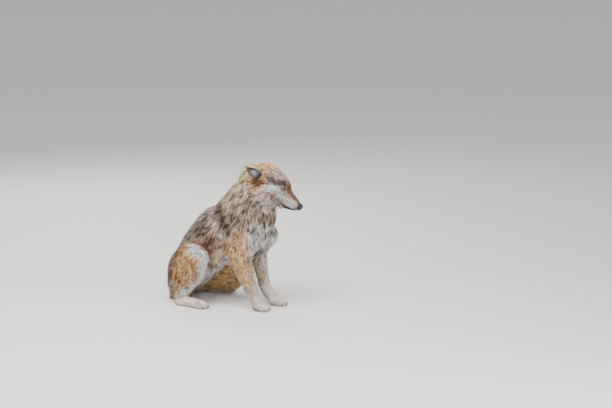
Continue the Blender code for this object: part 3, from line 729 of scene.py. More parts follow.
def off_path(points, path):
    """The distance of points from a path of places."""
    best = np.linalg.norm(points - path[0], axis=1)
    for start, end in zip(path, path[1:]):
        leg = end - start
        share = np.clip((points - start) @ leg / (leg @ leg), 0, 1)
        best = np.minimum(best, np.linalg.norm(points - start - share[:, None] * leg, axis=1))
    return best


def wander(points, wave, reach):
    """Displaces points by sines of their other coordinates, so that a marking's edge isn't drawn cleanly."""
    turns = points[:, [1, 2, 0]] * (2 * math.pi / wave) + points[:, [2, 0, 1]] * (3.1 / wave)
    return points + reach * np.sin(turns + (0.3, 1.7, 4.1))


def markings(points, spread):
    """Colour and share of dark tips at points; spread is how far each point's marking may be out of place."""
    rough = wander(wander(points, 0.055, 0.006), 0.021, 0.003)
    colour = np.tile(linear(GROUND_COLOUR), (len(points), 1))
    dark = np.full(len(points), GROUND_DARK)
    places = head_places(points + 0.5 * (rough - points) + spread)
    rough = rough + spread
    on_face = ramp(places[:, 0], -0.11, -0.04) * ramp(places[:, 1], -0.13, -0.08)
    for marks, where, share in ((BODY_MARKS, folded(rough, 1), 1), (LEG_MARKS, rough, 1),
                                (HEAD_MARKS, folded(places, 2), on_face)):
        for path, reach, tint, tipped, strength in marks:
            core, rim = (0.35, 1.50) if reach > 35 else (0.60, 1.35)
            off = off_path(where, np.array(path) / MM) / (reach / MM)
            weight = strength * share * (1 - ramp(off, core, rim))
            colour += (linear(tint) - colour) * np.reshape(weight, (-1, 1))
            dark += (tipped - dark) * weight
    return colour, dark


def bare_skin(points):
    """1 on bare dark skin: the lips, the rims of the lids with the tear's corner, and round the nose."""
    places = head_places(points)
    off = off_mouth(places)
    bare = np.exp(-(off / np.where(off > 0, 0.0046, 0.0072)) ** 4) * at_lips(places, -0.006, 0.008)
    for side in (-1, 1):
        out, along, across, rim = eye_places(points, side)
        tear = almond((along - 0.008) * 0.75, across * 1.5)
        rims = np.maximum(1 - ramp(rim, 1.30, 1.75), 1 - ramp(tear, 0.9, 1.2))
        bare = np.maximum(bare, rims * (out > 0))
    return np.maximum(bare, 1 - ramp(from_nose(places), 1.10, 1.20))


EAR_DARK, EAR_PALE = linear((88, 80, 86)), linear((174, 165, 168))
BARE_COLOUR = linear((30, 26, 28))


def with_ears(points, colour):
    """The ears' colours over the markings: hollows, painted darkest at the root as shade, with pale hair in
    the middle.
    """
    for length, _, up, out, beside in ear_places(points):
        share = up / length
        half_width, bend, _ = ear_section(share)
        edge = np.abs(beside) / np.maximum(half_width, 1e-6)
        fold = -bend * (1 - np.minimum(edge, 1) ** 2)
        hollow = (up > -0.004) & (up < length) & (edge < 0.97) & (out > fold) & (out < fold + 0.017)
        pale = np.exp(-((share - 0.38) / 0.15) ** 2 - ((beside + 0.002) / 0.011) ** 2)
        tint = EAR_DARK + (EAR_PALE - EAR_DARK) * pale[:, None]
        # painted shade: the hollow darkens towards the ear's root
        tint *= (0.25 + 0.75 * ramp(share, 0.10, 0.26))[:, None]
        colour = colour + (tint - colour) * (hollow * (1 - ramp(edge, 0.90, 0.99)))[:, None]
    return colour


def paint(thing, name, values):
    """Stores a colour at every point."""
    layer = thing.data.attributes.new(name, "FLOAT_COLOR", "POINT")
    values = np.concatenate([values, np.ones((len(values), 1))], 1)
    layer.data.foreach_set("color", values.astype(np.float32).ravel())


def colour_skin():
    """Paints the skin with the markings, darkened as painted shade under the hair, and with the bare parts.
    """
    points = points_of(skin.data)
    colour, dark = markings(points, 0)
    # painted shade: the hide is darker than the hair over it, the more where the hair is dark-tipped
    colour = with_ears(points, colour * (0.62 - 0.25 * dark)[:, None])
    colour += (BARE_COLOUR - colour) * bare_skin(points)[:, None]
    paint(skin, "hide", colour)


colour_skin()


def unwrap(thing):
    """Lays a piece out flat in islands, which its baked maps use."""
    bpy.context.view_layer.objects.active = thing
    thing.select_set(True)
    bpy.ops.object.mode_set(mode="EDIT")
    bpy.ops.mesh.select_all(action="SELECT")
    bpy.ops.uv.smart_project(angle_limit=math.radians(66), island_margin=0.002)
    bpy.ops.object.mode_set(mode="OBJECT")
    thing.data.uv_layers[0].name = "OFBake"
    thing.select_set(False)


unwrap(skin)


def set_inputs(node, **values):
    """Sets a node's inputs, whose names have a space where the keyword has an underscore."""
    for name, value in values.items():
        node.inputs[name.replace("_", " ")].default_value = value
    return node


def grain_group():
    """A group that breaks up a colour with fine mottling, and gives a height for the bump of short hair."""
    group = bpy.data.node_groups.new("hair_grain", "ShaderNodeTree")
    for way, kind, *names in (("INPUT", "Color", "Colour"), ("INPUT", "Float", "Grain", "Strength"),
                              ("OUTPUT", "Color", "Colour"), ("OUTPUT", "Float", "Roughness", "Height")):
        for name in names:
            group.interface.new_socket(name, in_out=way, socket_type="NodeSocket" + kind)
    nodes, links = group.nodes, group.links
    inside, outside = nodes.new("NodeGroupInput"), nodes.new("NodeGroupOutput")
    fine = set_inputs(nodes.new("ShaderNodeTexNoise"), Detail=3)
    links.new(nodes.new("ShaderNodeTexCoord").outputs["Object"], fine.inputs["Vector"])
    links.new(inside.outputs["Grain"], fine.inputs["Scale"])
    light = set_inputs(nodes.new("ShaderNodeMapRange"), From_Min=0.25, From_Max=0.75)
    links.new(fine.outputs["Fac"], light.inputs["Value"])
    for operation, end in (("SUBTRACT", "To Min"), ("ADD", "To Max")):
        limit = nodes.new("ShaderNodeMath")
        limit.operation = operation
        limit.inputs[0].default_value = 1.0
        links.new(inside.outputs["Strength"], limit.inputs[1])
        links.new(limit.outputs[0], light.inputs[end])
    scale = nodes.new("ShaderNodeVectorMath")
    scale.operation = "SCALE"
    links.new(inside.outputs["Colour"], scale.inputs[0])
    links.new(light.outputs["Result"], scale.inputs["Scale"])
    rough = set_inputs(nodes.new("ShaderNodeMapRange"), To_Min=0.62, To_Max=0.88)
    links.new(fine.outputs["Fac"], rough.inputs["Value"])
    links.new(scale.outputs["Vector"], outside.inputs["Colour"])
    links.new(rough.outputs["Result"], outside.inputs["Roughness"])
    links.new(fine.outputs["Fac"], outside.inputs["Height"])
    return group


GRAIN = grain_group()


def new_material(name, **values):
    """A material, its nodes, its links, and its shader with the values given."""
    material = bpy.data.materials.new(name)
    material.use_nodes = True
    nodes, links = material.node_tree.nodes, material.node_tree.links
    return material, nodes, links, set_inputs(nodes["Principled BSDF"], **values)


def painted(name, nodes):
    """The colour that is painted on a piece under a name."""
    colour = nodes.new("ShaderNodeAttribute")
    colour.attribute_name = name
    return colour.outputs["Color"]


def hair_material(name, grain, strength, bump):
    """The colour painted under the name, broken up by the grain, with a bump where one is given."""
    material, nodes, links, shader = new_material(name, Specular_IOR_Level=0.25)
    group = nodes.new("ShaderNodeGroup")
    group.node_tree = GRAIN
    set_inputs(group, Grain=grain, Strength=strength)
    links.new(painted(name, nodes), group.inputs["Colour"])
    links.new(group.outputs["Colour"], shader.inputs["Base Color"])
    links.new(group.outputs["Roughness"], shader.inputs["Roughness"])
    if bump:
        lift = set_inputs(nodes.new("ShaderNodeBump"), Strength=0.6, Distance=bump)
        links.new(group.outputs["Height"], lift.inputs["Height"])
        links.new(lift.outputs["Normal"], shader.inputs["Normal"])
    return material


skin.data.materials.clear()
skin.data.materials.append(hair_material("hide", 900, 0.25, 0.0008))
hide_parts(*[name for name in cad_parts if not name.startswith(("eye_", "nose"))])
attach(skin, "root")


# ================================================================ coat
# Guard hairs cling together in pointed locks. Each lock is a thin closed spike of triangular section, rooted
# in the skin, steep at its root and laid down towards its tip, and leaning into its clump.
SKIN_POINTS, SKIN_NORMALS = points_of(skin.data), normals_of(skin.data)
SKIN_LIES, SKIN_HAIRS = coat_at(SKIN_POINTS)
QUICK_SHARE = 1.0
EAR_ROOM = 0.036, 0.026        # how far to the side of its axis, and out of it, a place still is on the ear


def near_ears(points):
    """How far each point lies up an ear, or far below its root where it isn't on one; and the ear's lie."""
    reach, lie = np.full(len(points), -1.0), np.zeros_like(points)
    for _, way, up, out, beside in ear_places(points):
        here = (np.hypot(out, beside) < EAR_ROOM[0]) & (np.abs(out) < EAR_ROOM[1])
        reach[here], lie[here] = up[here], way
    return reach, lie


def dress_ears():
    """Gives the ears their own short hair, which lies towards their tips."""
    reach, lie = near_ears(SKIN_POINTS)
    share = ramp(reach, 0.004, 0.022)[:, None]
    SKIN_HAIRS[:] = SKIN_HAIRS * (1 - share) + np.array([0.007, math.radians(14), 0.0008]) * share
    SKIN_LIES[:] = unit(SKIN_LIES * (1 - share) + lie * share)


dress_ears()


def triangle_data():
    """The skin's triangles by their points, and their corners' places on the unwrap."""
    mesh = skin.data
    mesh.calc_loop_triangles()
    flat = rows_of(mesh.uv_layers["OFBake"].data, "uv", 2)
    return (rows_of(mesh.loop_triangles, "vertices", 3, np.int32),
            flat[rows_of(mesh.loop_triangles, "loops", 3, np.int32)])


SKIN_TRIANGLES, SKIN_FLAT = triangle_data()


# The coat's pieces: name, how many locks, whether they bend, and slot.
COAT_PIECES = [("coat_face", 43000, False, "coat_cream"), ("coat_crown", 18000, False, "coat_tawny"),
               ("coat_cheeks", 14000, True, "coat_grizzled"), ("coat_neck", 19000, True, "coat_grizzled"),
               ("coat_chest", 8500, True, "coat_cream"), ("coat_flanks", 16000, True, "coat_grizzled"),
               ("coat_back", 10000, True, "coat_saddle"), ("coat_forelegs", 45000, False, "coat_cream"),
               ("coat_hind_right", 13500, True, "coat_tawny"), ("coat_hind_left", 9500, True, "coat_rust"),
               ("coat_hind_feet", 17000, False, "coat_cream"), ("coat_tail", 7000, True, "coat_grizzled"),
               ("coat_ears", 11000, False, "coat_grizzled")]


def coat_region(points):
    """The number of the coat piece that a place on the skin belongs to."""
    places = head_places(points)
    x, y, z = points.T
    region = np.full(len(points), 5)
    region[(np.abs(y) < 0.075) & (x < 0.26)] = 6
    region[(z > 0.52) | (z + 0.9 * (x - 0.30) > 0.62)] = 3
    region[(x > 0.45) & (z > 0.30) & (z < 0.53)] = 4
    region[(x > 0.36) & (z < 0.32)] = 7
    region[(x < 0.30) & (y < -0.135) & (z < 0.40)] = 8
    region[(x < 0.30) & (y > 0.135) & (z < 0.26)] = 9
    region[(x > 0.03) & (x < 0.30) & (np.abs(y) > 0.14) & (z < 0.056)] = 10
    region[(x < -0.04) & (y > 0.03) & (z < 0.13)] = 11
    region[(x < 0.12) & (y > 0.262)] = 11
    head = (places[:, 0] > -0.03) & (places[:, 1] > -0.085) & (z > 0.45)
    region[head] = 2
    region[head & (places[:, 0] > -0.01) & (places[:, 1] > 0.075)] = 1
    region[head & (places[:, 0] > 0.085) & (places[:, 1] > -0.065)] = 0
    region[near_ears(points)[0] > -0.002] = 12
    return region


# The sizes of clumps, by how long their hair is, and of patches of darker and lighter hair.
CLUMPS, FACE_PATCH, COARSE_PATCH = (0.0034, 0.0065, 0.013), 0.0055, 0.017
LONG_HAIR, LONGEST_HAIR = 0.014, 0.030


def scatter(cells, salt):
    """A repeatable random number from 0 to 1 for each row of whole numbers."""
    x, y, z = np.moveaxis(cells * (73856093, 19349663, 83492791), -1, 0)
    mixed = x ^ y ^ z ^ (salt * 2654435)
    mixed = (mixed ^ (mixed >> 13)) * 1274126177
    return ((mixed ^ (mixed >> 16)) & 0xFFFF) / 0xFFFF


def clumps_of(points, size):
    """The nearest clump's centre and random number; a clump has a jittered place in each cell of a grid."""
    cell = np.floor(points / size).astype(np.int64)
    best = np.full(len(points), np.inf)
    centre, luck = np.zeros_like(points), np.zeros(len(points))
    for step in np.ndindex(3, 3, 3):
        near = cell + step - 1
        place = (near + np.stack([scatter(near, k) for k in (1, 2, 3)], 1)) * size
        apart = ((place - points) ** 2).sum(1)
        closer = apart < best
        best[closer] = apart[closer]
        centre[closer] = place[closer]
        luck[closer] = scatter(near, 4)[closer]
    return centre, luck


def roots_of(number, count, rng):
    """Roots locks at random on the triangles of one region, denser where they are short and narrow."""
    chosen = np.flatnonzero(SKIN_REGIONS[SKIN_TRIANGLES[:, 0]] == number)
    corners = SKIN_POINTS[SKIN_TRIANGLES[chosen]]
    area = np.linalg.norm(np.cross(corners[:, 1] - corners[:, 0], corners[:, 2] - corners[:, 0]), axis=1)
    hairs = SKIN_HAIRS[SKIN_TRIANGLES[chosen]].mean(1)
    weight = area / (hairs[:, 0] * hairs[:, 2]) ** 0.75
    pick = chosen[rng.choice(len(chosen), count, p=weight / weight.sum())]
    a, b = rng.random(count), rng.random(count)
    fold = a + b > 1
    a[fold], b[fold] = 1 - a[fold], 1 - b[fold]
    share = np.stack([1 - a - b, a, b], 1)[..., None]
    corner = SKIN_TRIANGLES[pick]
    root, normal, lie, hair = ((values[corner] * share).sum(1)
                               for values in (SKIN_POINTS, SKIN_NORMALS, SKIN_LIES, SKIN_HAIRS))
    flat = (SKIN_FLAT[pick] * share).sum(1)
    keep = bare_skin(root) < rng.random(count)
    return root[keep], unit(normal[keep]), lie[keep], hair[keep], flat[keep]


def shortened(root, length):
    """Hair by the eyes, the mouth's line and the roots of the ears is shorter than the run says."""
    places = head_places(root)
    mouth = np.abs(off_mouth(places)) + 1.5 * np.maximum(MOUTH_CORNER[0] - 0.008 - places[:, 0], 0)
    ear = np.linalg.norm(folded(places, 2) - EAR_BASE - (0.008, 0, 0.004), axis=1)
    return length * (0.40 + 0.60 * ramp(from_eye(places), 0.014, 0.040)) \
        * (0.26 + 0.74 * ramp(mouth, 0.005, 0.022)) * (0.28 + 0.72 * ramp(ear, 0.028, 0.054))


# The triangles of a lock with a bend and of a straight one, where the corners lie on its patch of the unwrap,
# and whether each has the colour of the root, the middle or the tip.
BENT = ([(0, 1, 2), (0, 3, 4), (0, 4, 1), (1, 4, 5), (1, 5, 2), (2, 5, 3), (2, 3, 0), (3, 6, 4), (4, 6, 5),
         (5, 6, 3)],
        [(-1, -1), (1, -1), (0, -1), (-1, 0), (1, 0), (0, 0), (0, 1)], (0, 0, 0, 1, 1, 1, 2))
STRAIGHT = ([(0, 1, 2), (0, 3, 1), (1, 3, 2), (2, 3, 0)],
            [(-1, -1), (1, -1), (0, 0), (0, 1)], (1, 1, 0, 2))
HALF_PATCH = 0.0015


def lock_tints(root, length, luck, tone, patch, rng):
    """Colours at a lock's root, painted dark as shade deep in the coat, and at its middle and tip, by the
    random numbers of its clump, its tip and its patch.
    """
    n = len(root)
    spread = rng.normal(0, 1, (n, 3)) * np.clip(length * 0.30, 0.0020, 0.010)[:, None]
    colour, dark = markings(root, spread)
    colour = with_ears(root, colour)
    long = length > LONG_HAIR
    light = np.where(long, 0.35 * luck + 0.65 * (1 - tone), luck)
    depth = np.where(long, 2.35, 1.20)
    shade = rng.uniform(0.76, 1.22, n) * np.maximum(1.06 - depth / 2 + depth * light, 0.10) \
        * (0.80 + 0.40 * patch)
    tipped = rng.random(n) < dark * np.clip(2.6 * tone - 0.3, 0.05, 1.6)
    tint = colour * shade[:, None]
    middle = tint * np.where(tipped, 0.62, 1.06)[:, None]
    tip = np.where(tipped[:, None], tint * 0.12, np.minimum(tint * 1.55, 0.94))
    # painted shade: the root is darker than the lock, as deep in the coat
    return tint * 0.48, np.minimum(middle, 0.92), tip


def turned(first, second, angle):
    """Directions at an angle from the first towards the second."""
    return first * np.cos(angle)[:, None] + second * np.sin(angle)[:, None]


def flattened(vectors, normal):
    """Vectors less their part along the normal."""
    return vectors - normal * (vectors * normal).sum(1)[:, None]


def grow(name, number, count, bent):
    """One piece of coat: a closed spike for each lock, laid along the coat's lie and drawn to its clump."""
    rng = np.random.default_rng(11 + number)
    root, normal, lie, hair, flat = roots_of(number, int(count * QUICK_SHARE), rng)
    n = len(root)
    length = shortened(root, hair[:, 0]) * rng.uniform(0.70, 1.12, n)
    steep = hair[:, 1] * rng.uniform(0.75, 1.2, n)
    width = hair[:, 2] * rng.uniform(0.7, 1.25, n)
    band = np.digitize(length, (LONG_HAIR, LONGEST_HAIR))
    centre, luck = np.zeros_like(root), np.zeros(n)
    for k, size in enumerate(CLUMPS):
        here = band == k
        centre[here], luck[here] = clumps_of(root[here], size)
    lie = unit(flattened(lie, normal))
    lie = unit(lie + np.cross(normal, lie) * rng.normal(0, 0.15, n)[:, None])
    side = np.cross(normal, lie)
    pull = flattened(centre - root, normal)
    curl = side * rng.normal(0, 0.10, n)[:, None]
    wide = turned(side, normal, rng.normal(0, 0.45, n))
    ridge = np.cross(lie, wide)
    half, thick = width[:, None] / 2, width[:, None] * 0.42
    sunk = root - normal * np.minimum(0.0015, length * 0.12)[:, None]
    if bent:
        root_way, tip_way = (turned(lie, normal, steep * share) for share in (ROOT_STEEP, TIP_STEEP))
        middle = root + root_way * (length * BEND_AT)[:, None] + pull * 0.30
        tip = middle + unit(tip_way + curl) * (length * (1 - BEND_AT))[:, None] + pull * 0.50
        rows = [sunk - wide * half * 0.8, sunk + wide * half * 0.8, sunk - ridge * thick * 0.8,
                middle - wide * half, middle + wide * half, middle - ridge * thick, tip]
    else:
        tip = root + (turned(lie, normal, steep) + curl) * length[:, None] + pull * 0.60
        rows = [sunk - wide * half, sunk + wide * half, sunk - ridge * thick * 1.3, tip]
    corners, offsets, share_of = BENT if bent else STRAIGHT
    points = np.stack(rows, 1)
    points[..., 2] = np.maximum(points[..., 2], HAIR_CLEAR)
    corners = np.array(corners)[:, ::-1]
    triangles = (np.arange(n)[:, None, None] * len(rows) + corners).reshape(-1, 3)
    thing = surface_from(name, points.reshape(-1, 3), triangles)

    tone = np.where(band == 2, clumps_of(tip + 7.0, CLUMPS[2])[1], clumps_of(tip + 7.0, FACE_PATCH)[1])
    tints = lock_tints(root, length, luck, tone, clumps_of(tip + 3.0, COARSE_PATCH)[1], rng)
    paint(thing, "hair", np.stack([tints[k] for k in share_of], 1).reshape(-1, 3))
    corner_flat = (flat[:, None, :] + np.array(offsets) * HALF_PATCH)[:, corners.ravel(), :]
    layer = thing.data.uv_layers.new(name="OFBake")
    layer.data.foreach_set("uv", np.clip(corner_flat, 0, 1).astype(np.float32).ravel())
    thing.data.materials.append(HAIR)
    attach(thing, "root")


HAIR = hair_material("hair", 260, 0.22, 0)
SKIN_REGIONS = coat_region(SKIN_POINTS)
for number, (name, count, bent, slot) in enumerate(COAT_PIECES):
    grow(name, number, count, bent)


# ================================================================ eyes
# A mount's glass eye: a dark ball with a bulging clear cornea, an amber iris with radial fibres and a round
# pupil. It sits in the head behind the opening of the lids.
# The iris is its own amber, painted darker as the shade that the brow casts over the eye.
IRIS, IRIS_RIM, EYE_WHITE = linear((98, 68, 34)), linear((58, 38, 22)), linear((40, 28, 22))


def halved(quads):
    """Two triangles for each quad."""
    return np.concatenate([quads[:, [0, 1, 2]], quads[:, [0, 2, 3]]])


def ball_faces(rings, around):
    """The triangles of a ball whose points are its rings, its front and its rear."""
    index, quads = ring_faces(rings, around)
    first, last = index[0], index[-1]
    return np.concatenate([halved(quads[:, [0, 3, 2, 1]]),
                           np.stack([np.full(around, index.size), first, np.roll(first, -1)], 1),
                           np.stack([np.full(around, index.size + 1), np.roll(last, -1), last], 1)])


def eye_surface(name, side):
    """A ball turned about the gaze; its radius grows by a small bulge over the iris."""
    gaze, slit, rise = eye_axes(side)
    polar = np.linspace(0, math.pi, 49)[1:-1]
    spin = np.linspace(0, 2 * math.pi, 48, endpoint=False)
    radius = EYE_RADIUS - 0.0002 + 0.0009 * (1 - ramp(polar, 0.35, 0.62))
    ring = (gaze * (np.cos(polar) * radius)[:, None, None]
            + (slit * np.cos(spin)[None, :, None] + rise * np.sin(spin)[None, :, None])
            * (np.sin(polar) * radius)[:, None, None])
    points = np.concatenate([ring.reshape(-1, 3), [gaze * radius[0], -gaze * radius[-1]]])
    thing = surface_from(name, on_head(EYE_AT * (1, 1, side)) + points,
                         ball_faces(len(polar), len(spin))[:, ::-side])
    angle = np.concatenate([np.repeat(polar, len(spin)), [0, math.pi]])[:, None]
    spin = np.concatenate([np.tile(spin, len(polar)), [0, 0]])[:, None]
    iris = IRIS * (0.70 + 0.5 * (0.5 + 0.5 * np.sin(spin * 17) * np.sin(spin * 7 + 1.3)))
    iris += (IRIS_RIM - iris) * ramp(angle, 0.42, 0.58)
    white, pupil = ramp(angle, 0.56, 0.64), ramp(angle, 0.24, 0.28)
    paint(thing, "eye", (iris * (1 - white) + EYE_WHITE * white) * pupil + 0.003)
    return thing


def eye_material():
    """A clear wet coat over the painted colour."""
    material, nodes, links, shader = new_material("eye", Roughness=0.3, Specular_IOR_Level=0.1,
                                                  Coat_Weight=1.0, Coat_Roughness=0.02, Coat_IOR=1.33)
    links.new(painted("eye", nodes), shader.inputs["Base Color"])
    return material


EYE_FINISH = eye_material()
for side, word in ((-1, "right"), (1, "left")):
    eye = eye_surface("eyeball_" + word, side)
    eye.data.materials.append(EYE_FINISH)
    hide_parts("eye_" + word)
    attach(eye, "root")


# ================================================================ nose
# Bare pebbled leather with two comma-shaped nostrils and a groove down its middle. It is one closed piece at
# the end of the muzzle, and the skin there is drawn back inside it.
def face_outwards(thing):
    """Turns every face of a closed piece outwards."""
    with edited(thing.data) as bm:
        bmesh.ops.recalc_face_normals(bm, faces=bm.faces[:])


def nose_surface():
    """An egg that is boxy in front, by the 2.7th powers of its directions; nostrils and groove are bells."""
    polar = np.linspace(0, math.pi, 73)[1:-1, None]
    spin = np.linspace(0, 2 * math.pi, 112, endpoint=False)
    ball = np.stack([np.cos(polar) * np.ones(len(spin)), np.sin(polar) * np.sin(spin),
                     np.sin(polar) * np.cos(spin)], -1).reshape(-1, 3)
    ball = np.concatenate([ball, [(1, 0, 0), (-1, 0, 0)]])
    ahead, up, left = ball.T
    boxy = (np.abs(ball) ** 2.7).sum(1) ** (-1 / 2.7)
    shape = ball * NOSE_RADII * (1 + (boxy - 1) * ramp(ahead, -0.1, 0.5))[:, None]
    shape[:, 0] *= 1 - 0.14 * ramp(ahead, 0.2, 1.0)
    shape[:, 2] *= 1 - 0.28 * ramp(-up, 0.1, 0.9)
    shape[:, 1] *= 1 - 0.16 * ramp(up, 0.45, 1.0)
    wing = np.abs(left)
    nostril = np.exp(-(((wing - 0.43) / 0.21) ** 2 + ((up - 0.04) / 0.27) ** 2) ** 1.5) * (ahead > 0)
    slit = np.exp(-((wing - 0.40 - 0.9 * (0.10 - up) ** 2 - 0.5 * (0.1 - up)) / 0.075) ** 2
                  - ((up + 0.30) / 0.26) ** 4) * (ahead > -0.3)
    groove = np.exp(-(left / 0.055) ** 2) * ramp(-up, -0.35, 0.1) * (ahead > 0)
    wings = np.exp(-((wing - 0.72) / 0.16) ** 2 - ((up - 0.05) / 0.35) ** 2) * (ahead > 0)
    shape -= ball * (0.0115 * nostril + 0.0055 * slit + 0.0024 * groove - 0.0012 * wings)[:, None]
    thing = surface_from("nose_leather", on_head(NOSE_AT + shape), ball_faces(len(polar), len(spin)))
    face_outwards(thing)
    return thing


def two_tones(nodes, links, texture, output, first, second):
    """Lays a texture on the piece's own place, and mixes two colours by it."""
    links.new(nodes.new("ShaderNodeTexCoord").outputs["Object"], texture.inputs["Vector"])
    tone = nodes.new("ShaderNodeMix")
    tone.data_type = "RGBA"
    set_inputs(tone, A=(*linear(first), 1), B=(*linear(second), 1))
    links.new(texture.outputs[output], tone.inputs["Factor"])
    return tone.outputs["Result"]


def nose_material():
    """Dark leather, whose pebbles are the cells of a Voronoi pattern."""
    material, nodes, links, shader = new_material("nose_leather", Specular_IOR_Level=0.35, Coat_Weight=0.25,
                                                  Coat_Roughness=0.22)
    pebble = set_inputs(nodes.new("ShaderNodeTexVoronoi"), Scale=620)
    links.new(two_tones(nodes, links, pebble, "Distance", (28, 26, 31), (16, 15, 18)),
              shader.inputs["Base Color"])
    rough = set_inputs(nodes.new("ShaderNodeMapRange"), To_Min=0.42, To_Max=0.7)
    links.new(pebble.outputs["Distance"], rough.inputs["Value"])
    links.new(rough.outputs["Result"], shader.inputs["Roughness"])
    lift = set_inputs(nodes.new("ShaderNodeBump"), Strength=0.9, Distance=0.0008)
    lift.invert = True
    links.new(pebble.outputs["Distance"], lift.inputs["Height"])
    links.new(lift.outputs["Normal"], shader.inputs["Normal"])
    return material


nose = nose_surface()
nose.data.materials.append(nose_material())
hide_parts("nose")
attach(nose, "root")


# ================================================================ whiskers
# Stiff tapering bristles that sweep out and back, in four rows on each side of the muzzle and one on each
# brow. A row runs between two places (along, above) and has so many whiskers.
WHISKER_ROWS = [((0.190, 0.026), (0.152, 0.028), 5), ((0.200, 0.016), (0.150, 0.016), 5),
                ((0.206, 0.006), (0.150, 0.004), 5), ((0.206, -0.004), (0.160, -0.006), 5),
                ((0.108, 0.104), (0.100, 0.100), 3)]
WHISKER_THICKNESS = 0.00040


def surface_of_tubes(name, tubes, capped):
    """One mesh of tubes that are arrays of rings of points; only three-sided ones can be capped."""
    points, faces, made = [], [], 0
    for rings in tubes:
        index, quads = ring_faces(*rings.shape[:2], made)
        faces.append(np.concatenate([halved(quads), index[:1, ::-1], index[-1:]]) if capped else quads)
        points.append(rings.reshape(-1, 3))
        made += index.size
    return surface_from(name, np.concatenate(points), np.concatenate(faces))


def whisker_rings(root, out, back, length):
    """A three-sided cone along a bend: out by the share of its length, back and down by its square."""
    share = np.linspace(0, 1, 9)
    path = root + out * (share * length)[:, None] + (back * 0.55 - UPRIGHT * 0.16) \
        * (share ** 2 * length)[:, None]
    angles = np.arange(3) * (2 * math.pi / 3)
    left = unit(np.cross(out, back))
    ring = left * np.cos(angles)[:, None] + np.cross(left, out) * np.sin(angles)[:, None]
    return path[:, None, :] + ring * (WHISKER_THICKNESS * (1.03 - share))[:, None, None]


def whiskers():
    """Each whisker's rings, rooted where the skin is nearest to its place in its row."""
    rng = np.random.default_rng(5)
    for side in (-1, 1):
        for front, rear, count in WHISKER_ROWS:
            for share in np.linspace(0, 1, count):
                along, above = np.array(front) + (np.array(rear) - front) * share
                place = on_head(np.array([along, above, side * 0.040]))
                nearest = np.argmin(((SKIN_POINTS - place) ** 2).sum(1))
                root, normal, lie = SKIN_POINTS[nearest], SKIN_NORMALS[nearest], SKIN_LIES[nearest]
                out = unit(normal * 0.85 + lie * rng.uniform(0.35, 0.65) + rng.normal(0, 0.06, 3))
                yield whisker_rings(root - normal * 0.0012, out, lie, rng.uniform(0.026, 0.034) * (1 + share))


def horn_material(name, roughness, scale, first, second):
    """Horn or bristle in two tones that a noise mixes."""
    material, nodes, links, shader = new_material(name, Roughness=roughness)
    noise = set_inputs(nodes.new("ShaderNodeTexNoise"), Scale=scale)
    links.new(two_tones(nodes, links, noise, "Fac", first, second), shader.inputs["Base Color"])
    return material


bristles = surface_of_tubes("whiskers", whiskers(), True)
face_outwards(bristles)
bristles.data.materials.append(horn_material("whisker_bristle", 0.45, 60, (24, 21, 20), (92, 82, 74)))
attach(bristles, "root")


# ================================================================ claws
# Blunt dark horn, four to a paw, curving down from the ends of the toes. Each is a tapering piece whose
# thick end is rooted in its toe.
CLAW_LENGTH, CLAW_RADIUS = 0.015, 0.0040


def claw_rings(start, ahead):
    """A cone swept along a quarter bend: forwards by the sine, down by one less the cosine."""
    share = np.linspace(0, 1, 8)
    bend = share * 1.1
    way = ahead * np.cos(bend)[:, None] - UPRIGHT * np.sin(bend)[:, None]
    path = start + ahead * (np.sin(bend) / 1.1 * CLAW_LENGTH)[:, None] \
        - UPRIGHT * ((1 - np.cos(bend)) / 1.1 * CLAW_LENGTH)[:, None]
    left = np.cross(UPRIGHT, ahead)
    up = np.cross(way, left)
    thick = CLAW_RADIUS * (1 - share) ** 0.6
    angles = np.linspace(0, 2 * math.pi, 10, endpoint=False)
    rings = path[:, None, :] + (left * np.cos(angles)[None, :, None] * 0.75
                                + up[:, None, :] * np.sin(angles)[None, :, None]) * thick[:, None, None]
    rings[..., 2] = np.maximum(rings[..., 2], HAIR_CLEAR)
    return rings


def claws():
    """Each claw's rings, from above and before the end of its toe."""
    for (x, y), heading, width, length in PAWS:
        ahead, left = paw_axes(heading)
        for k, reach in enumerate(TOE_REACHES):
            out = (k - 1.5) / 1.5
            toe = np.array([x, y, 0]) + ahead * length * reach * 0.80 + left * out * width * 0.36
            yield claw_rings(toe + ahead * 0.004 + UPRIGHT * 0.014, ahead)


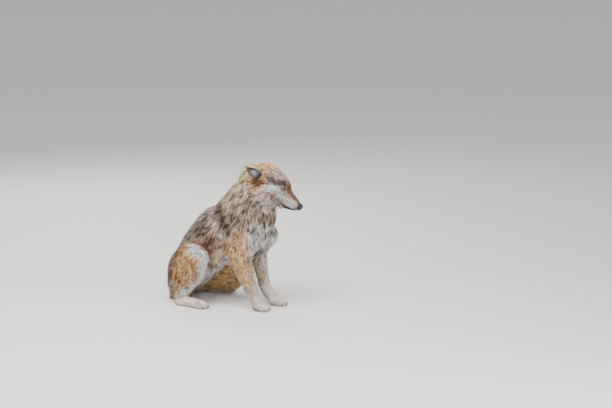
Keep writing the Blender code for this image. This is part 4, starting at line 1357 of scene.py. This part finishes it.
claw_set = surface_of_tubes("claws", claws(), False)
claw_set.data.materials.append(horn_material("claw_horn", 0.4, 400, (38, 32, 28), (84, 72, 62)))
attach(claw_set, "root")


# ================================================================ floor, light and camera
# A plain pale studio floor that runs past the frame, three soft lamps and a long lens. The camera looks at
# the wolf's right side, from somewhat before it and a little above it.
FLOOR_REACH = 60
floor = surface_from("studio_floor", np.array([(-1, -1, 0), (1, -1, 0), (1, 1, 0), (-1, 1, 0)]) * FLOOR_REACH,
                     np.array([(0, 1, 2, 3)]))
floor.data.materials.append(new_material("studio_floor", Base_Color=(0.72, 0.71, 0.69, 1), Roughness=0.9)[0])

VIEW_TURN, VIEW_RISE = math.radians(28), math.radians(11)
FRAME_WIDTH, LENS, SENSOR = 3.427, 200, 36
right = np.array([math.cos(VIEW_TURN), math.sin(VIEW_TURN), 0])
back = np.array([math.sin(VIEW_TURN) * math.cos(VIEW_RISE), -math.cos(VIEW_TURN) * math.cos(VIEW_RISE),
                 math.sin(VIEW_RISE)])
above = np.cross(back, right)
middle = right * 0.672 + above * 0.526
lens = bpy.data.cameras.new("camera")
lens.lens, lens.sensor_width = LENS, SENSOR
camera = linked("camera", lens)
camera.matrix_world = Matrix([*zip(right, above, back, middle + back * FRAME_WIDTH * LENS / SENSOR),
                              (0, 0, 0, 1)])
bpy.context.scene.camera = camera


def lamp(name, place, size, power):
    """A square soft box that faces the middle of the wolf."""
    light = bpy.data.lights.new(name, "AREA")
    light.size, light.energy = size, power
    to_lamp = unit(place - np.array([0.3, 0.0, 0.4]))
    across = unit(np.cross(UPRIGHT, to_lamp))
    linked(name, light).matrix_world = Matrix([*zip(across, np.cross(to_lamp, across), to_lamp, place),
                                               (0, 0, 0, 1)])


lamp("key_light", (0.2, -2.2, 3.6), 3.2, 300)
lamp("fill_light", (3.4, -2.0, 1.6), 3.0, 125)
lamp("rear_light", (-2.2, 2.4, 2.6), 2.5, 100)
world = bpy.data.worlds.new("studio")
world.use_nodes = True
set_inputs(world.node_tree.nodes["Background"], Color=(1.0, 0.98, 0.96, 1), Strength=0.70)
bpy.context.scene.world = world
